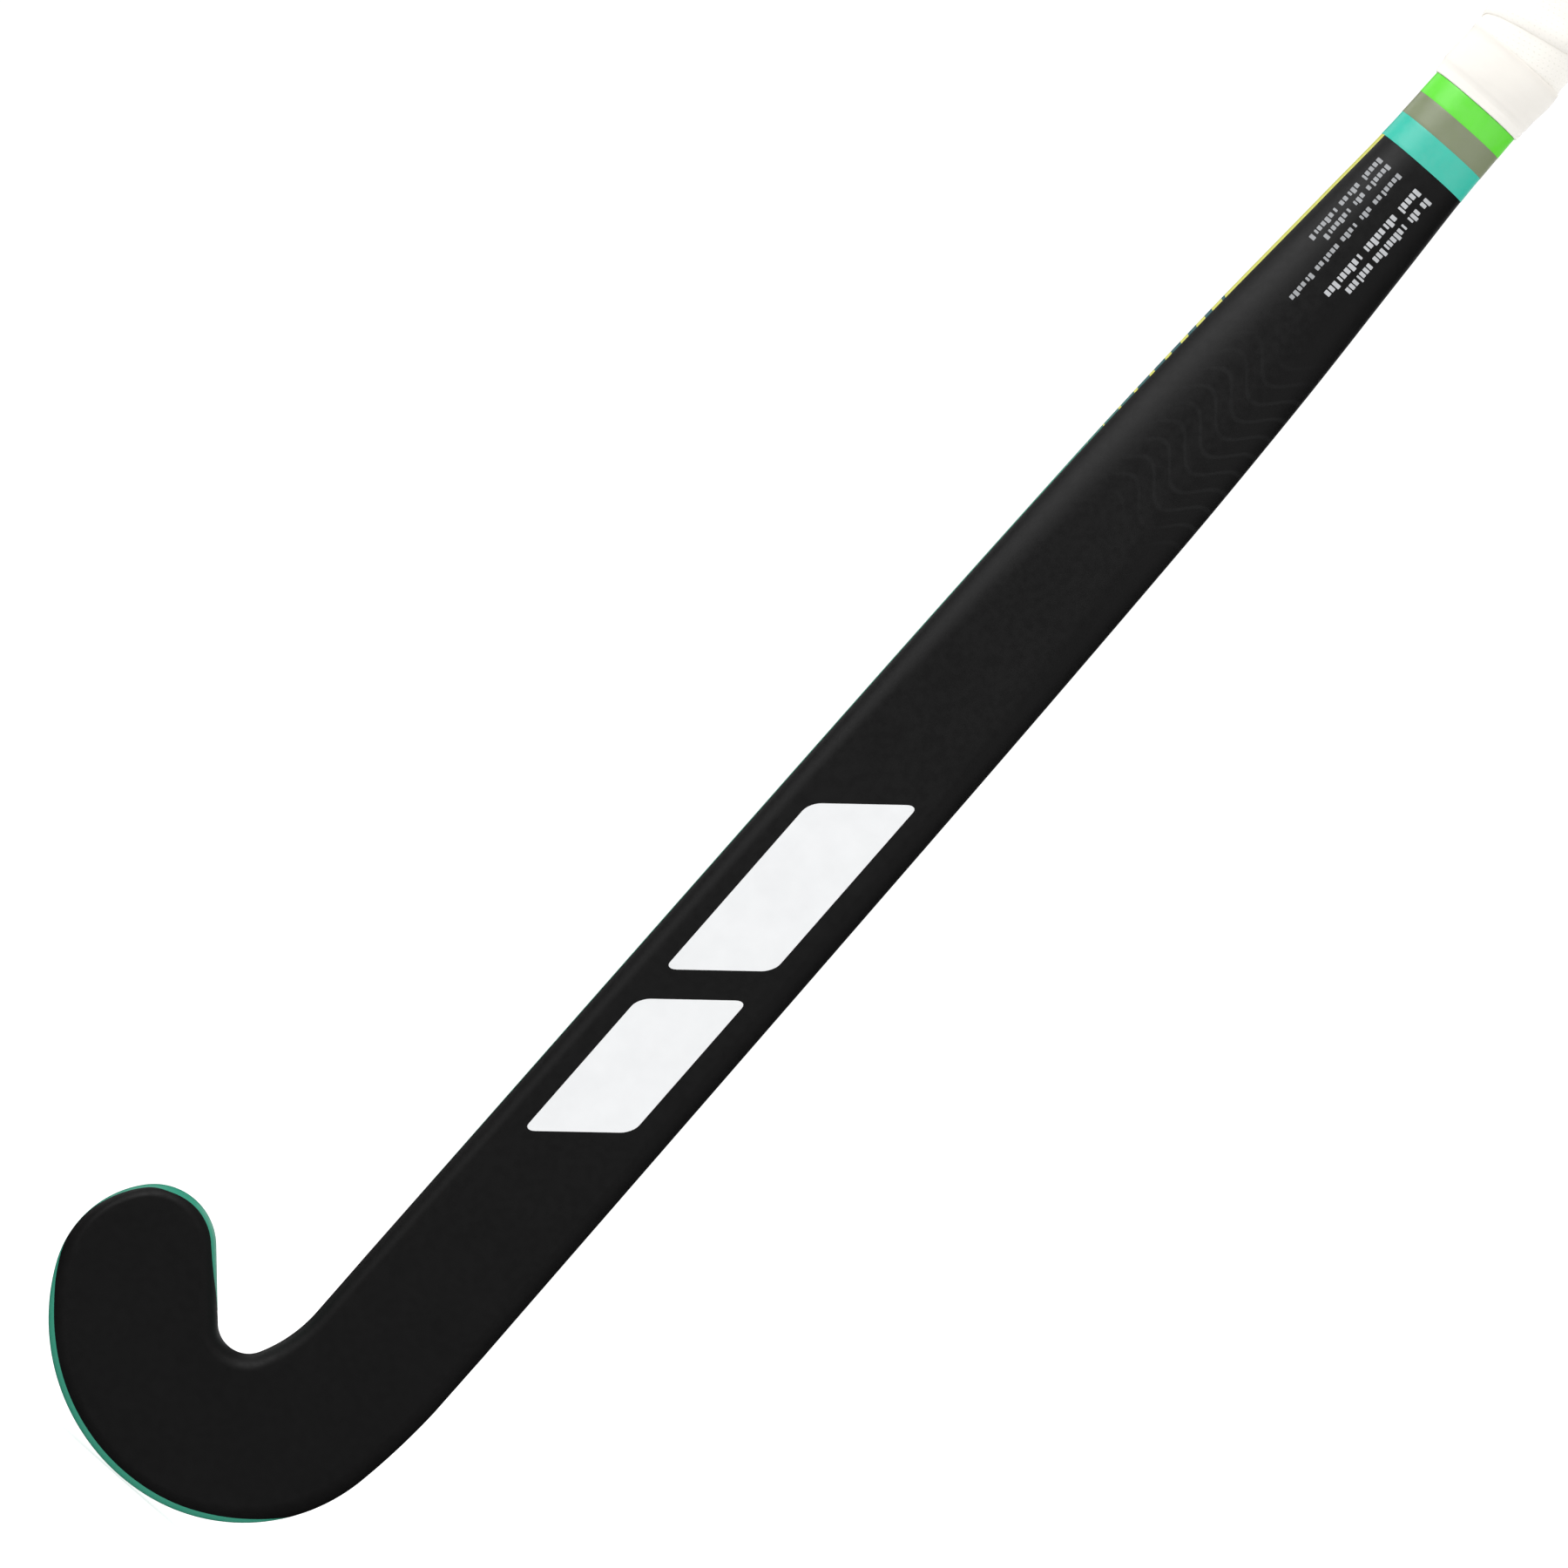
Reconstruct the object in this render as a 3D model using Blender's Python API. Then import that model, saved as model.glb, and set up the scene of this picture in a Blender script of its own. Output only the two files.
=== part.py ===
"""Field hockey stick: a hollow moulded composite stick with its films, bands, grip and end cap.

The stick stands upright. +Z runs up the chord of the shaft, the toe of the head points to -X and
the flat playing face looks to -Y. The origin is on the handle's axis, where the hands hold it.

Shapes are worked out in sole coordinates: x across the face, z the height above the lowest point
of the head, and a depth behind the face. One empty, the hold point, carries every piece.
"""
import math

import bmesh
import bpy

MM = 0.001

# ---- Driving dimensions, in metres ------------------------------------------------------------

LENGTH = 927 * MM          # sole to the top of the end cap, a 36.5 inch stick
HOLD_HEIGHT = 760 * MM     # where the hands hold the handle
HEAD_TOP = 100 * MM        # the face is one flat plane below this height
BOW = 20 * MM              # how far the shaft bows back, a third of the way up

WALL = 2.5 * MM            # moulded wall of both laminates
GAP = 0.3 * MM             # bond line between pieces that touch
LAP = 2.0 * MM             # height of the tongue where the two laminates lap
BACK_POWER = 2.3           # fullness of the rounded back, where 2 is an ellipse

TUBE_TOP = 915 * MM        # upper end of the moulded tube
SHOULDER_TOP = 595 * MM    # the shaft narrows into the handle between these two heights
SHOULDER_BOTTOM = 395 * MM
GRIP_START = 597 * MM      # lower end of the grip
PAD_START = 615 * MM       # lower end of the cushion under it
CAP_SKIRT = 12 * MM        # how far the end cap reaches down over the tube
PLY_THICKNESS = 0.8 * MM   # cloth behind the playing face
TUBE_WALL = 0.8 * MM       # pressed tubes either side of the web
PAD_THICKNESS = 0.8 * MM
GRIP_THICKNESS = 1.5 * MM
GRIP_EDGE = 0.9 * MM       # the grip thins out to this at its lower end
TAPE_THICKNESS = 0.7 * MM  # finishing tape
FILM_THICKNESS = 0.2 * MM  # bands, marks and label

# Heights of the edges of the three bands below the grip
TEAL_BOTTOM = 566.6 * MM
KHAKI_BOTTOM = 575.9 * MM
GREEN_BOTTOM = 584.2 * MM
GREEN_TOP = 591.9 * MM

# Bends of the head's edges as radius and degrees turned: the outer edge runs down the heel, along
# the sole and round the toe, the inner edge down the neck and round the throat.
OUTER_BENDS = ((230 * MM, 9.5), (57 * MM, 72), (64 * MM, 73), (33 * MM, 66), (19.3 * MM, 97))
INNER_BENDS = ((45 * MM, 27.5), (9.5 * MM, 110))

SAME_PLACE = 0.00001 * MM  # points nearer than this are one point
RIM_STEPS = 4              # facets from the flat of the face to the widest line
BACK_STEPS = 5             # facets from the widest line to the middle of the back


# ---- Smooth curves along the stick ------------------------------------------------------------

def steady_curve(*stations):
    """A function of height through the (height, value) stations that never overshoots them."""
    heights = [height for height, _ in stations]
    values = [value for _, value in stations]
    rises = [
        (values[i + 1] - values[i]) / (heights[i + 1] - heights[i])
        for i in range(len(stations) - 1)
    ]
    slopes = [rises[0]]
    for before, after in zip(rises, rises[1:]):
        turns = before * after <= 0
        slopes.append(0.0 if turns else 2 * before * after / (before + after))
    slopes.append(rises[-1])

    def value_at(height):
        height = min(max(height, heights[0]), heights[-1])
        i = 0
        while height > heights[i + 1]:
            i += 1
        span = heights[i + 1] - heights[i]
        t = (height - heights[i]) / span
        start = (1 + 2 * t) * (1 - t) ** 2 * values[i] + t * (1 - t) ** 2 * span * slopes[i]
        end = t * t * (3 - 2 * t) * values[i + 1] - t * t * (1 - t) * span * slopes[i + 1]
        return start + end

    return value_at


half_width = steady_curve(
    (100 * MM, 23.9 * MM), (330 * MM, 23.05 * MM), (430 * MM, 22.0 * MM), (485 * MM, 20.4 * MM),
    (540 * MM, 17.55 * MM), (575 * MM, 15.8 * MM), (650 * MM, 14.9 * MM), (915 * MM, 13.6 * MM),
)
depth = steady_curve(
    (100 * MM, 22.0 * MM), (330 * MM, 20.5 * MM), (430 * MM, 20.8 * MM), (590 * MM, 25.0 * MM),
    (915 * MM, 22.5 * MM),
)
# The rim is the rounded edge of the face: its share of the half width, and of the depth
rim_share = steady_curve(
    (100 * MM, 0.21), (300 * MM, 0.28), (400 * MM, 0.52), (480 * MM, 0.83), (560 * MM, 0.90),
    (915 * MM, 0.90),
)
rim_depth_share = steady_curve(
    (100 * MM, 0.30), (330 * MM, 0.32), (590 * MM, 0.50), (915 * MM, 0.50),
)


def bow(height):
    """How far the middle line lies behind the chord; a straight line below the top of the head."""
    def curve(share):
        return BOW * 6.75 * share * (1 - share) ** 2

    top = HEAD_TOP / LENGTH
    if height >= HEAD_TOP:
        return curve(height / LENGTH)
    slope = BOW * 6.75 * (1 - top) * (1 - 3 * top)
    return curve(top) + slope * (height / LENGTH - top)


def steps(start, end, count):
    """Evenly spaced values from start to end, both included."""
    return [start + (end - start) * i / count for i in range(count + 1)]


# ---- Outline of the head ----------------------------------------------------------------------

def follow_bends(start, bends):
    """The arcs of an edge that heads straight down at start and then turns towards -X."""
    arcs = []
    x, z = start
    heading = 0.0
    for radius, degrees in bends:
        turn = math.radians(degrees)
        centre = (x - radius * math.cos(heading), z + radius * math.sin(heading))
        arcs.append((centre, radius, heading, radius * turn))
        heading += turn
        x = centre[0] + radius * math.cos(heading)
        z = centre[1] - radius * math.sin(heading)
    return arcs


def point_along(arcs, distance):
    """The point at a distance along an edge's arcs."""
    i = 0
    while i < len(arcs) - 1 and distance > arcs[i][3]:
        distance -= arcs[i][3]
        i += 1
    centre, radius, heading, _ = arcs[i]
    angle = heading + distance / radius
    return (centre[0] + radius * math.cos(angle), centre[1] - radius * math.sin(angle))


def distance_to(arcs, degrees):
    """How far along an edge's arcs it has turned by the given degrees."""
    goal = math.radians(degrees)
    travelled = 0.0
    for _, radius, heading, length in arcs:
        travelled += min(max((goal - heading) * radius, 0.0), length)
    return travelled


def between(first, second, share=0.5):
    """The point a share of the way from first to second."""
    return tuple(a + (b - a) * share for a, b in zip(first, second))


# The sole is at height zero, which sets where the heel begins.
shoulder = half_width(HEAD_TOP)
drawn = follow_bends((shoulder, 0.0), OUTER_BENDS)
HEEL_HEIGHT = -point_along(drawn, distance_to(drawn, 90))[1]
OUTER_EDGE = follow_bends((shoulder, HEEL_HEIGHT), OUTER_BENDS)
NECK_TURN = INNER_BENDS[0][1]
TOE_TURN = NECK_TURN + INNER_BENDS[1][1]
OUTER_LENGTH = distance_to(OUTER_EDGE, 180 + TOE_TURN)
TOE_TIP = point_along(OUTER_EDGE, OUTER_LENGTH)

# The straight inner side of the toe joins the throat to the tip, which sets the neck's height.
drawn = follow_bends((-shoulder, 0.0), INNER_BENDS)
throat_point = point_along(drawn, distance_to(drawn, TOE_TURN))
toe_angle = math.radians(TOE_TURN)
TOE_STRAIGHT = (throat_point[0] - TOE_TIP[0]) / math.sin(toe_angle)
NECK_HEIGHT = TOE_TIP[1] + TOE_STRAIGHT * math.cos(toe_angle) - throat_point[1]
INNER_EDGE = follow_bends((-shoulder, NECK_HEIGHT), INNER_BENDS)


def make_ribs():
    """Pairs of facing edge points, inner and outer, from the butt to the start of the toe cap."""
    heights = steps(TUBE_TOP, SHOULDER_TOP, 8)
    heights += steps(SHOULDER_TOP, SHOULDER_BOTTOM, 12)[1:]
    heights += steps(SHOULDER_BOTTOM, HEAD_TOP, 8)[1:]
    ribs = [((-half_width(z), z), (half_width(z), z)) for z in heights]
    # The neck faces the heel, and the throat faces the sole.
    heel_radius = OUTER_BENDS[0][0]
    heel_start = heel_radius * math.asin((HEEL_HEIGHT - NECK_HEIGHT) / heel_radius)
    heel_end = distance_to(OUTER_EDGE, NECK_TURN)
    sole_end = distance_to(OUTER_EDGE, TOE_TURN)
    neck_end = distance_to(INNER_EDGE, NECK_TURN)
    throat_end = distance_to(INNER_EDGE, TOE_TURN)
    for inner_span, outer_span, count in (
        ((0.0, neck_end), (heel_start, heel_end), 5),
        ((neck_end, throat_end), (heel_end, sole_end), 10),
    ):
        for inner, outer in zip(steps(*inner_span, count), steps(*outer_span, count)):
            ribs.append((point_along(INNER_EDGE, inner), point_along(OUTER_EDGE, outer)))
    # The straight inner side of the toe faces the toe's back.
    straight_start = point_along(INNER_EDGE, throat_end)
    for share in steps(0, 1, 3)[1:]:
        outer = point_along(OUTER_EDGE, sole_end + share * TOE_STRAIGHT)
        ribs.append((between(straight_start, TOE_TIP, share), outer))
    return ribs


def make_spokes(ribs):
    """Spokes as (centre, edge): down the heel side, round the toe cap and back up the toe side."""
    spokes = [(between(inner, outer), outer) for inner, outer in ribs]
    pole = between(*ribs[-1])
    cap_start = distance_to(OUTER_EDGE, TOE_TURN) + TOE_STRAIGHT
    for distance in steps(cap_start, OUTER_LENGTH, 12)[1:-1]:
        spokes.append((pole, point_along(OUTER_EDGE, distance)))
    spokes += [(between(inner, outer), inner) for inner, outer in reversed(ribs)]
    return spokes


RIBS = make_ribs()
STICK_SPOKES = make_spokes(RIBS)
HEAD_SPOKES = make_spokes([rib for rib in RIBS if rib[0][1] < HEAD_TOP + GAP])


# ---- Cross-section ----------------------------------------------------------------------------
# A profile is a list of (reach, depth): the distance out from the middle line, and the depth
# behind the face. A positive inset lies inside the stick's surface, a negative one outside it.

def face_profile(reach, height, inset, front=None):
    """From the middle of the face over its rim to the widest line."""
    front = inset if front is None else front
    rim = rim_share(height) * reach
    drop = rim_depth_share(height) * depth(height)
    points = [(0.0, front)]
    for angle in steps(0, math.pi / 2, RIM_STEPS):
        across = reach - rim + (rim - inset) * math.sin(angle)
        points.append((across, front + (drop - front) * (1 - math.cos(angle))))
    return points


def back_profile(reach, height, inset, lift=0.0):
    """From the widest line, or lift behind it, round to the middle of the back."""
    start = rim_depth_share(height) * depth(height) + lift
    rise = depth(height) - inset - start
    points = []
    for angle in steps(0, math.pi / 2, BACK_STEPS):
        across = (reach - inset) * abs(math.cos(angle)) ** (2 / BACK_POWER)
        points.append((across, start + rise * math.sin(angle) ** (2 / BACK_POWER)))
    points[-1] = (0.0, points[-1][1])
    return points


def face_laminate_profile(reach, height):
    """Front skin: outside, a tongue on the inner half of the wall, and inside."""
    lap_start = rim_depth_share(height) * depth(height)
    tongue = reach - WALL / 2
    lap = [(tongue, lap_start), (tongue, lap_start + LAP), (reach - WALL, lap_start + LAP)]
    outside = face_profile(reach, height, 0.0)
    return outside + lap + face_profile(reach, height, WALL)[::-1]


def back_laminate_profile(reach, height):
    """Back skin: outside, the rebate that takes the tongue, and inside."""
    lap_start = rim_depth_share(height) * depth(height) + GAP
    rebate = reach - WALL / 2 + GAP
    lap = [(rebate, lap_start), (rebate, lap_start + LAP)]
    outside = back_profile(reach, height, 0.0, lift=GAP)[::-1]
    return outside + lap + back_profile(reach, height, WALL, lift=LAP + GAP)


PLY_FRONT = WALL + GAP
PLY_BACK = PLY_FRONT + PLY_THICKNESS


def impact_ply_profile(reach, height):
    """Thin sheet under the playing face."""
    edge = (1 - rim_share(height)) * reach
    return [(0.0, PLY_FRONT), (edge, PLY_FRONT), (edge, PLY_BACK), (0.0, PLY_BACK)]


def head_core_profile(reach, height):
    """Filling of the head, behind the impact ply."""
    inset = WALL + GAP
    front = face_profile(reach, height, inset, front=PLY_BACK + GAP)
    return front + back_profile(reach, height, inset)[1:]


# ---- Building solids --------------------------------------------------------------------------

def in_space(x, height, behind_face):
    """The hold point's coordinates of a place on the stick."""
    return (x, bow(height) - depth(height) / 2 + behind_face, height)


def new_material(name, colour, roughness):
    """A plain material, whose name is the slot that the piece has."""
    material = bpy.data.materials.new(name)
    material.use_nodes = True
    shader = material.node_tree.nodes["Principled BSDF"]
    shader.inputs["Base Color"].default_value = (*colour, 1.0)
    shader.inputs["Roughness"].default_value = roughness
    material.diffuse_color = (*colour, 1.0)
    return material


def finish_piece(name, bm, material, sharp_degrees=35):
    """Merge shared points, point the faces outwards and hang the piece on the hold point."""
    bmesh.ops.remove_doubles(bm, verts=bm.verts, dist=SAME_PLACE)
    bmesh.ops.recalc_face_normals(bm, faces=bm.faces)
    mesh = bpy.data.meshes.new(name)
    bm.to_mesh(mesh)
    bm.free()
    mesh.shade_smooth()
    mesh.set_sharp_from_angle(angle=math.radians(sharp_degrees))
    mesh.materials.append(material)
    piece = bpy.data.objects.new(name, mesh)
    bpy.context.scene.collection.objects.link(piece)
    piece.parent = hold_point
    return piece


def add_face(bm, corners):
    """A face from corners, where corners that share a place count once."""
    kept = []
    for vert in corners:
        if not kept or (vert.co - kept[-1].co).length > SAME_PLACE:
            kept.append(vert)
    if (kept[0].co - kept[-1].co).length <= SAME_PLACE:
        kept.pop()
    if len(kept) > 2:
        bm.faces.new(kept)


def strip_solid(name, spokes, profile, material):
    """A piece that follows the stick round the head: one profile on each spoke."""
    bm = bmesh.new()
    rows = []
    for centre, edge in spokes:
        run = (edge[0] - centre[0], edge[1] - centre[1])
        reach = math.hypot(*run)
        row = []
        for out, behind in profile(reach, centre[1]):
            x, z = between(centre, edge, out / reach)
            row.append(bm.verts.new(in_space(x, z, behind)))
        rows.append(row)
    for row, after in zip(rows, rows[1:]):
        for i in range(len(row) - 1):
            add_face(bm, (row[i], row[i + 1], after[i + 1], after[i]))
    add_face(bm, rows[0] + rows[-1][::-1])
    return finish_piece(name, bm, material)


def ring(height, inset):
    """The whole cross-section at a height, as a closed loop of points."""
    reach = half_width(height)
    side = face_profile(reach, height, inset) + back_profile(reach, height, inset)[1:]
    loop = side + [(-out, behind) for out, behind in side[-2:0:-1]]
    return [in_space(out, height, behind) for out, behind in loop]


def loft(name, rings, material, tube=False):
    """Rings of points joined in turn: with two flat ends, or as a tube that closes on itself."""
    bm = bmesh.new()
    rows = [[bm.verts.new(point) for point in points] for points in rings]
    pairs = list(zip(rows, rows[1:]))
    if tube:
        pairs.append((rows[-1], rows[0]))
    else:
        add_face(bm, rows[0])
        add_face(bm, rows[-1])
    for row, after in pairs:
        for i in range(len(row)):
            j = (i + 1) % len(row)
            add_face(bm, (row[i], row[j], after[j], after[i]))
    return finish_piece(name, bm, material)


def sleeve(name, layers, material):
    """A tube round the handle from (height, inner inset, outer inset) layers, lowest first."""
    inside = [ring(height, inner) for height, inner, _ in layers]
    outside = [ring(height, outer) for height, _, outer in layers]
    return loft(name, inside + outside[::-1], material, tube=True)


def film(name, half, start, end, material, slant=0.0, corner=0.0, columns=2, rows=4):
    """A thin sheet laid on the face, whose ends slant across it and whose corners are rounded."""
    def behind_face(x, height, inset):
        reach = half_width(height)
        rim = rim_share(height) * reach
        drop = rim_depth_share(height) * depth(height)
        share = max(abs(x) - (reach - rim), 0.0) / (rim - inset)
        return inset + (drop - inset) * (1 - math.sqrt(1 - share * share))

    corner_steps = [corner * (1 - math.cos(a)) for a in steps(0, math.pi / 2, 3)]
    stations = [start + step for step in corner_steps] if corner else [start]
    stations += steps(start + corner, end - corner, rows)[1:]
    if corner:
        stations += [end - step for step in corner_steps[-2::-1]]
    bm = bmesh.new()
    sheets = []
    for inset in (-GAP - FILM_THICKNESS, -GAP):
        sheet = []
        for station in stations:
            nearest = min(station - start, end - station, corner)
            width = half - corner + math.sqrt(max(corner ** 2 - (corner - nearest) ** 2, 0.0))
            row = []
            for x in steps(-width, width, columns):
                height = station + slant * x
                row.append(bm.verts.new(in_space(x, height, behind_face(x, height, inset))))
            sheet.append(row)
        sheets.append(sheet)
    front, back = sheets
    last = len(stations) - 1
    for r in range(last):
        for c in range(columns):
            add_face(bm, (front[r][c], front[r][c + 1], front[r + 1][c + 1], front[r + 1][c]))
            add_face(bm, (back[r][c], back[r + 1][c], back[r + 1][c + 1], back[r][c + 1]))
        for c in (0, columns):
            add_face(bm, (front[r][c], front[r + 1][c], back[r + 1][c], back[r][c]))
    for r in (0, last):
        for c in range(columns):
            add_face(bm, (front[r][c], front[r][c + 1], back[r][c + 1], back[r][c]))
    return finish_piece(name, bm, material)


# ---- Pieces -----------------------------------------------------------------------------------

def make_laminates():
    strip_solid("face_laminate", STICK_SPOKES, face_laminate_profile,
                new_material("black_lacquer", (0.010, 0.010, 0.011), 0.35))
    strip_solid("back_laminate", STICK_SPOKES, back_laminate_profile,
                new_material("teal_lacquer", (0.015, 0.42, 0.33), 0.35))


def make_head_filling():
    strip_solid("impact_ply", HEAD_SPOKES, impact_ply_profile,
                new_material("aramid_cloth", (0.60, 0.45, 0.08), 0.7))
    strip_solid("head_core", HEAD_SPOKES, head_core_profile,
                new_material("moulded_foam", (0.75, 0.70, 0.58), 0.9))


WEB_HALF = 1.0 * MM        # half the thickness of the centre web
WEB_BOTTOM = HEAD_TOP + 5 * MM
WEB_TOP = 600 * MM
PRESSED_TOP = 540 * MM     # upper end of the two tubes beside the web


def make_centre_web():
    """The wall that ties the two skins together down the middle of the shaft."""
    front = WALL + GAP
    rings = []
    for height in steps(WEB_BOTTOM, WEB_TOP, 14):
        back = depth(height) - front
        corners = ((-WEB_HALF, front), (WEB_HALF, front), (WEB_HALF, back), (-WEB_HALF, back))
        rings.append([in_space(x, height, behind) for x, behind in corners])
    loft("centre_web", rings, new_material("carbon_web", (0.02, 0.02, 0.02), 0.5))


def half_tube_ring(side, height, wall):
    """One half of the hollow beside the web, wall inside the space it fills."""
    inset = WALL + GAP + wall
    near_web = WEB_HALF + GAP + wall
    reach = half_width(height)
    face = face_profile(reach, height, inset)
    face[0] = (near_web, inset)
    back = back_profile(reach, height, inset)[1:-1]
    share = near_web / (reach - inset)
    start = rim_depth_share(height) * depth(height)
    rise = depth(height) - inset - start
    back.append((near_web, start + rise * (1 - share ** BACK_POWER) ** (1 / BACK_POWER)))
    return [in_space(side * out, height, behind) for out, behind in face + back]


def make_shaft_tubes():
    """The two pressed tubes, either side of the web, open at both ends."""
    material = new_material("carbon_tube", (0.03, 0.03, 0.032), 0.45)
    heights = steps(WEB_BOTTOM, PRESSED_TOP, 11)
    for name, side in (("toe_side_tube", -1), ("heel_side_tube", 1)):
        outside = [half_tube_ring(side, height, 0.0) for height in heights]
        inside = [half_tube_ring(side, height, TUBE_WALL) for height in heights]
        loft(name, outside + inside[::-1], material, tube=True)


def make_handle_filling():
    """From the web upwards: a foam bulkhead, the gel damper and the plug of the butt."""
    inset = WALL + GAP
    damper_bottom = 690 * MM
    damper_top = 790 * MM
    foam = steps(WEB_TOP + GAP, damper_bottom - GAP, 4)
    loft("handle_foam", [ring(height, inset) for height in foam],
         new_material("foam_filling", (0.80, 0.76, 0.66), 0.9))
    gel = steps(damper_bottom, damper_top, 4)
    loft("gel_damper", [ring(height, inset) for height in gel],
         new_material("damping_gel", (0.10, 0.35, 0.55), 0.25))
    plug_bottom = TUBE_TOP - 28 * MM
    chamfer = 2 * MM
    plug = [(plug_bottom, inset + chamfer), (plug_bottom + chamfer, inset), (TUBE_TOP, inset)]
    loft("end_plug", [ring(height, wide) for height, wide in plug],
         new_material("plug_plastic", (0.25, 0.25, 0.26), 0.5))


PAD_INSIDE = -GAP
PAD_OUTSIDE = PAD_INSIDE - PAD_THICKNESS
WRAP_INSIDE = PAD_OUTSIDE - GAP
WRAP_OUTSIDE = WRAP_INSIDE - GRIP_THICKNESS


def make_grip():
    """The cushion, the wrap over it, and the tape that closes the wrap's lower end."""
    skirt_bottom = TUBE_TOP - CAP_SKIRT
    pad = [(height, PAD_INSIDE, PAD_OUTSIDE) for height in steps(PAD_START, skirt_bottom - GAP, 8)]
    sleeve("cushion_underwrap", pad, new_material("cushion_foam", (0.12, 0.12, 0.12), 0.95))
    # The first turn lies on the tube, and the rest on the cushion.
    wrap = [
        (GRIP_START, -GAP, -GAP - GRIP_EDGE),
        (GRIP_START + 3 * MM, -GAP, -GAP - GRIP_THICKNESS),
        (PAD_START - 8 * MM, -GAP, -GAP - GRIP_THICKNESS),
        (PAD_START - 1 * MM, WRAP_INSIDE, WRAP_OUTSIDE),
    ]
    wrap += [(z, WRAP_INSIDE, WRAP_OUTSIDE) for z in steps(PAD_START + 5 * MM, TUBE_TOP - GAP, 9)]
    sleeve("grip_wrap", wrap, new_material("grip_polyurethane", (0.93, 0.91, 0.87), 0.6))
    tape_ends = (GREEN_TOP + GAP, GRIP_START - GAP)
    tape = [(height, -GAP, -GAP - TAPE_THICKNESS) for height in tape_ends]
    sleeve("finishing_tape", tape, new_material("white_tape", (0.90, 0.89, 0.84), 0.5))


def make_bands():
    bands = (
        ("teal_band", TEAL_BOTTOM, KHAKI_BOTTOM - GAP, (0.095, 0.610, 0.490)),
        ("khaki_band", KHAKI_BOTTOM, GREEN_BOTTOM - GAP, (0.270, 0.315, 0.198)),
        ("green_band", GREEN_BOTTOM, GREEN_TOP, (0.175, 0.805, 0.068)),
    )
    for name, bottom, top, colour in bands:
        layers = [(height, -GAP, -GAP - FILM_THICKNESS) for height in (bottom, top)]
        sleeve(name, layers, new_material(name + "_film", colour, 0.4))


MARK_HALF = 13 * MM        # half width of the blocks on the face
LABEL_HALF = 11.5 * MM


def make_marks():
    """Two plain slanted blocks on the face, and the sheet of the information label above them."""
    white = new_material("white_film", (0.86, 0.87, 0.88), 0.35)
    slant = math.tan(math.radians(40))
    for name, start, end in (
        ("face_mark_lower", 172 * MM, 226 * MM),
        ("face_mark_upper", 238 * MM, 306 * MM),
    ):
        film(name, MARK_HALF, start, end, white, slant=slant, corner=3 * MM)
    film("info_label", LABEL_HALF, 506 * MM, 560 * MM,
         new_material("label_film", (0.06, 0.06, 0.065), 0.3), columns=8, rows=6)


def make_end_cap():
    """Rubber cap: a skirt over the tube, under the wrap, and a flange with a flat top."""
    skirt_bottom = TUBE_TOP - CAP_SKIRT
    flange = WRAP_OUTSIDE - 0.5 * MM
    radius = 4 * MM
    outline = [
        (TUBE_TOP + GAP, PAD_INSIDE),
        (skirt_bottom, PAD_INSIDE),
        (skirt_bottom, PAD_OUTSIDE),
        (TUBE_TOP, PAD_OUTSIDE),
        (TUBE_TOP, flange),
    ]
    for angle in steps(0, math.pi / 2, 4):
        round_off = radius * (1 - math.cos(angle))
        outline.append((LENGTH - radius * (1 - math.sin(angle)), flange + round_off))
    rings = [ring(height, inset) for height, inset in outline]
    loft("end_cap", rings, new_material("cap_rubber", (0.88, 0.87, 0.83), 0.7))


for leftover in list(bpy.data.objects):
    bpy.data.objects.remove(leftover)

hold_point = bpy.data.objects.new("hold_point", None)
bpy.context.scene.collection.objects.link(hold_point)
hold_point.location = (0.0, -bow(HOLD_HEIGHT), -HOLD_HEIGHT)

make_laminates()
make_head_filling()
make_centre_web()
make_shaft_tubes()
make_handle_filling()
make_grip()
make_bands()
make_marks()
make_end_cap()
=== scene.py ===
"""The looks of the field hockey stick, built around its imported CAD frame."""
import math

import bmesh
import bpy
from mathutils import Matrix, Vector


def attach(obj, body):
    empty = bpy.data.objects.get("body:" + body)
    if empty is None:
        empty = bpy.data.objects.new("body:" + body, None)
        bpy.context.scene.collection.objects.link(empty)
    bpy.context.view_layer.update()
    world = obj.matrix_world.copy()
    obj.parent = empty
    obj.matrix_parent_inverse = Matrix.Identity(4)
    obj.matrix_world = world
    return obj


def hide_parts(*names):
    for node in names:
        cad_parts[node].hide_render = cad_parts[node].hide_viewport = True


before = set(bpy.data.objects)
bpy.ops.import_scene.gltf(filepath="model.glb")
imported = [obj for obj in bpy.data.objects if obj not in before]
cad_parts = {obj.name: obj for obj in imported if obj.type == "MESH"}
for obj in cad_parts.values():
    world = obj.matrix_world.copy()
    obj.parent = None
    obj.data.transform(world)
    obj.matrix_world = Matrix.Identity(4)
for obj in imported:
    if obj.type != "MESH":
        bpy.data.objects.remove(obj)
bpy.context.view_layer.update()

MM = 0.001

# ---- The stick's dimensions, as its CAD has them ----------------------------------------------

LENGTH = 927 * MM          # sole to the top of the end cap
HOLD_HEIGHT = 760 * MM     # height of the frame's origin above the sole
HEAD_TOP = 100 * MM        # the face is one flat plane below this height
BOW = 20 * MM              # how far the shaft bows back
WALL = 2.5 * MM            # moulded wall of the skins
BACK_POWER = 2.3           # fullness of the rounded back, where 2 is an ellipse
TUBE_TOP = 915 * MM        # upper end of the moulded tube
SHOULDER_TOP = 595 * MM    # the shaft narrows into the handle between these two heights
SHOULDER_BOTTOM = 395 * MM
CAP_SKIRT = 12 * MM        # how far the end cap reaches down over the tube
SAME_PLACE = 0.001 * MM    # points nearer than this are one point

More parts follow.
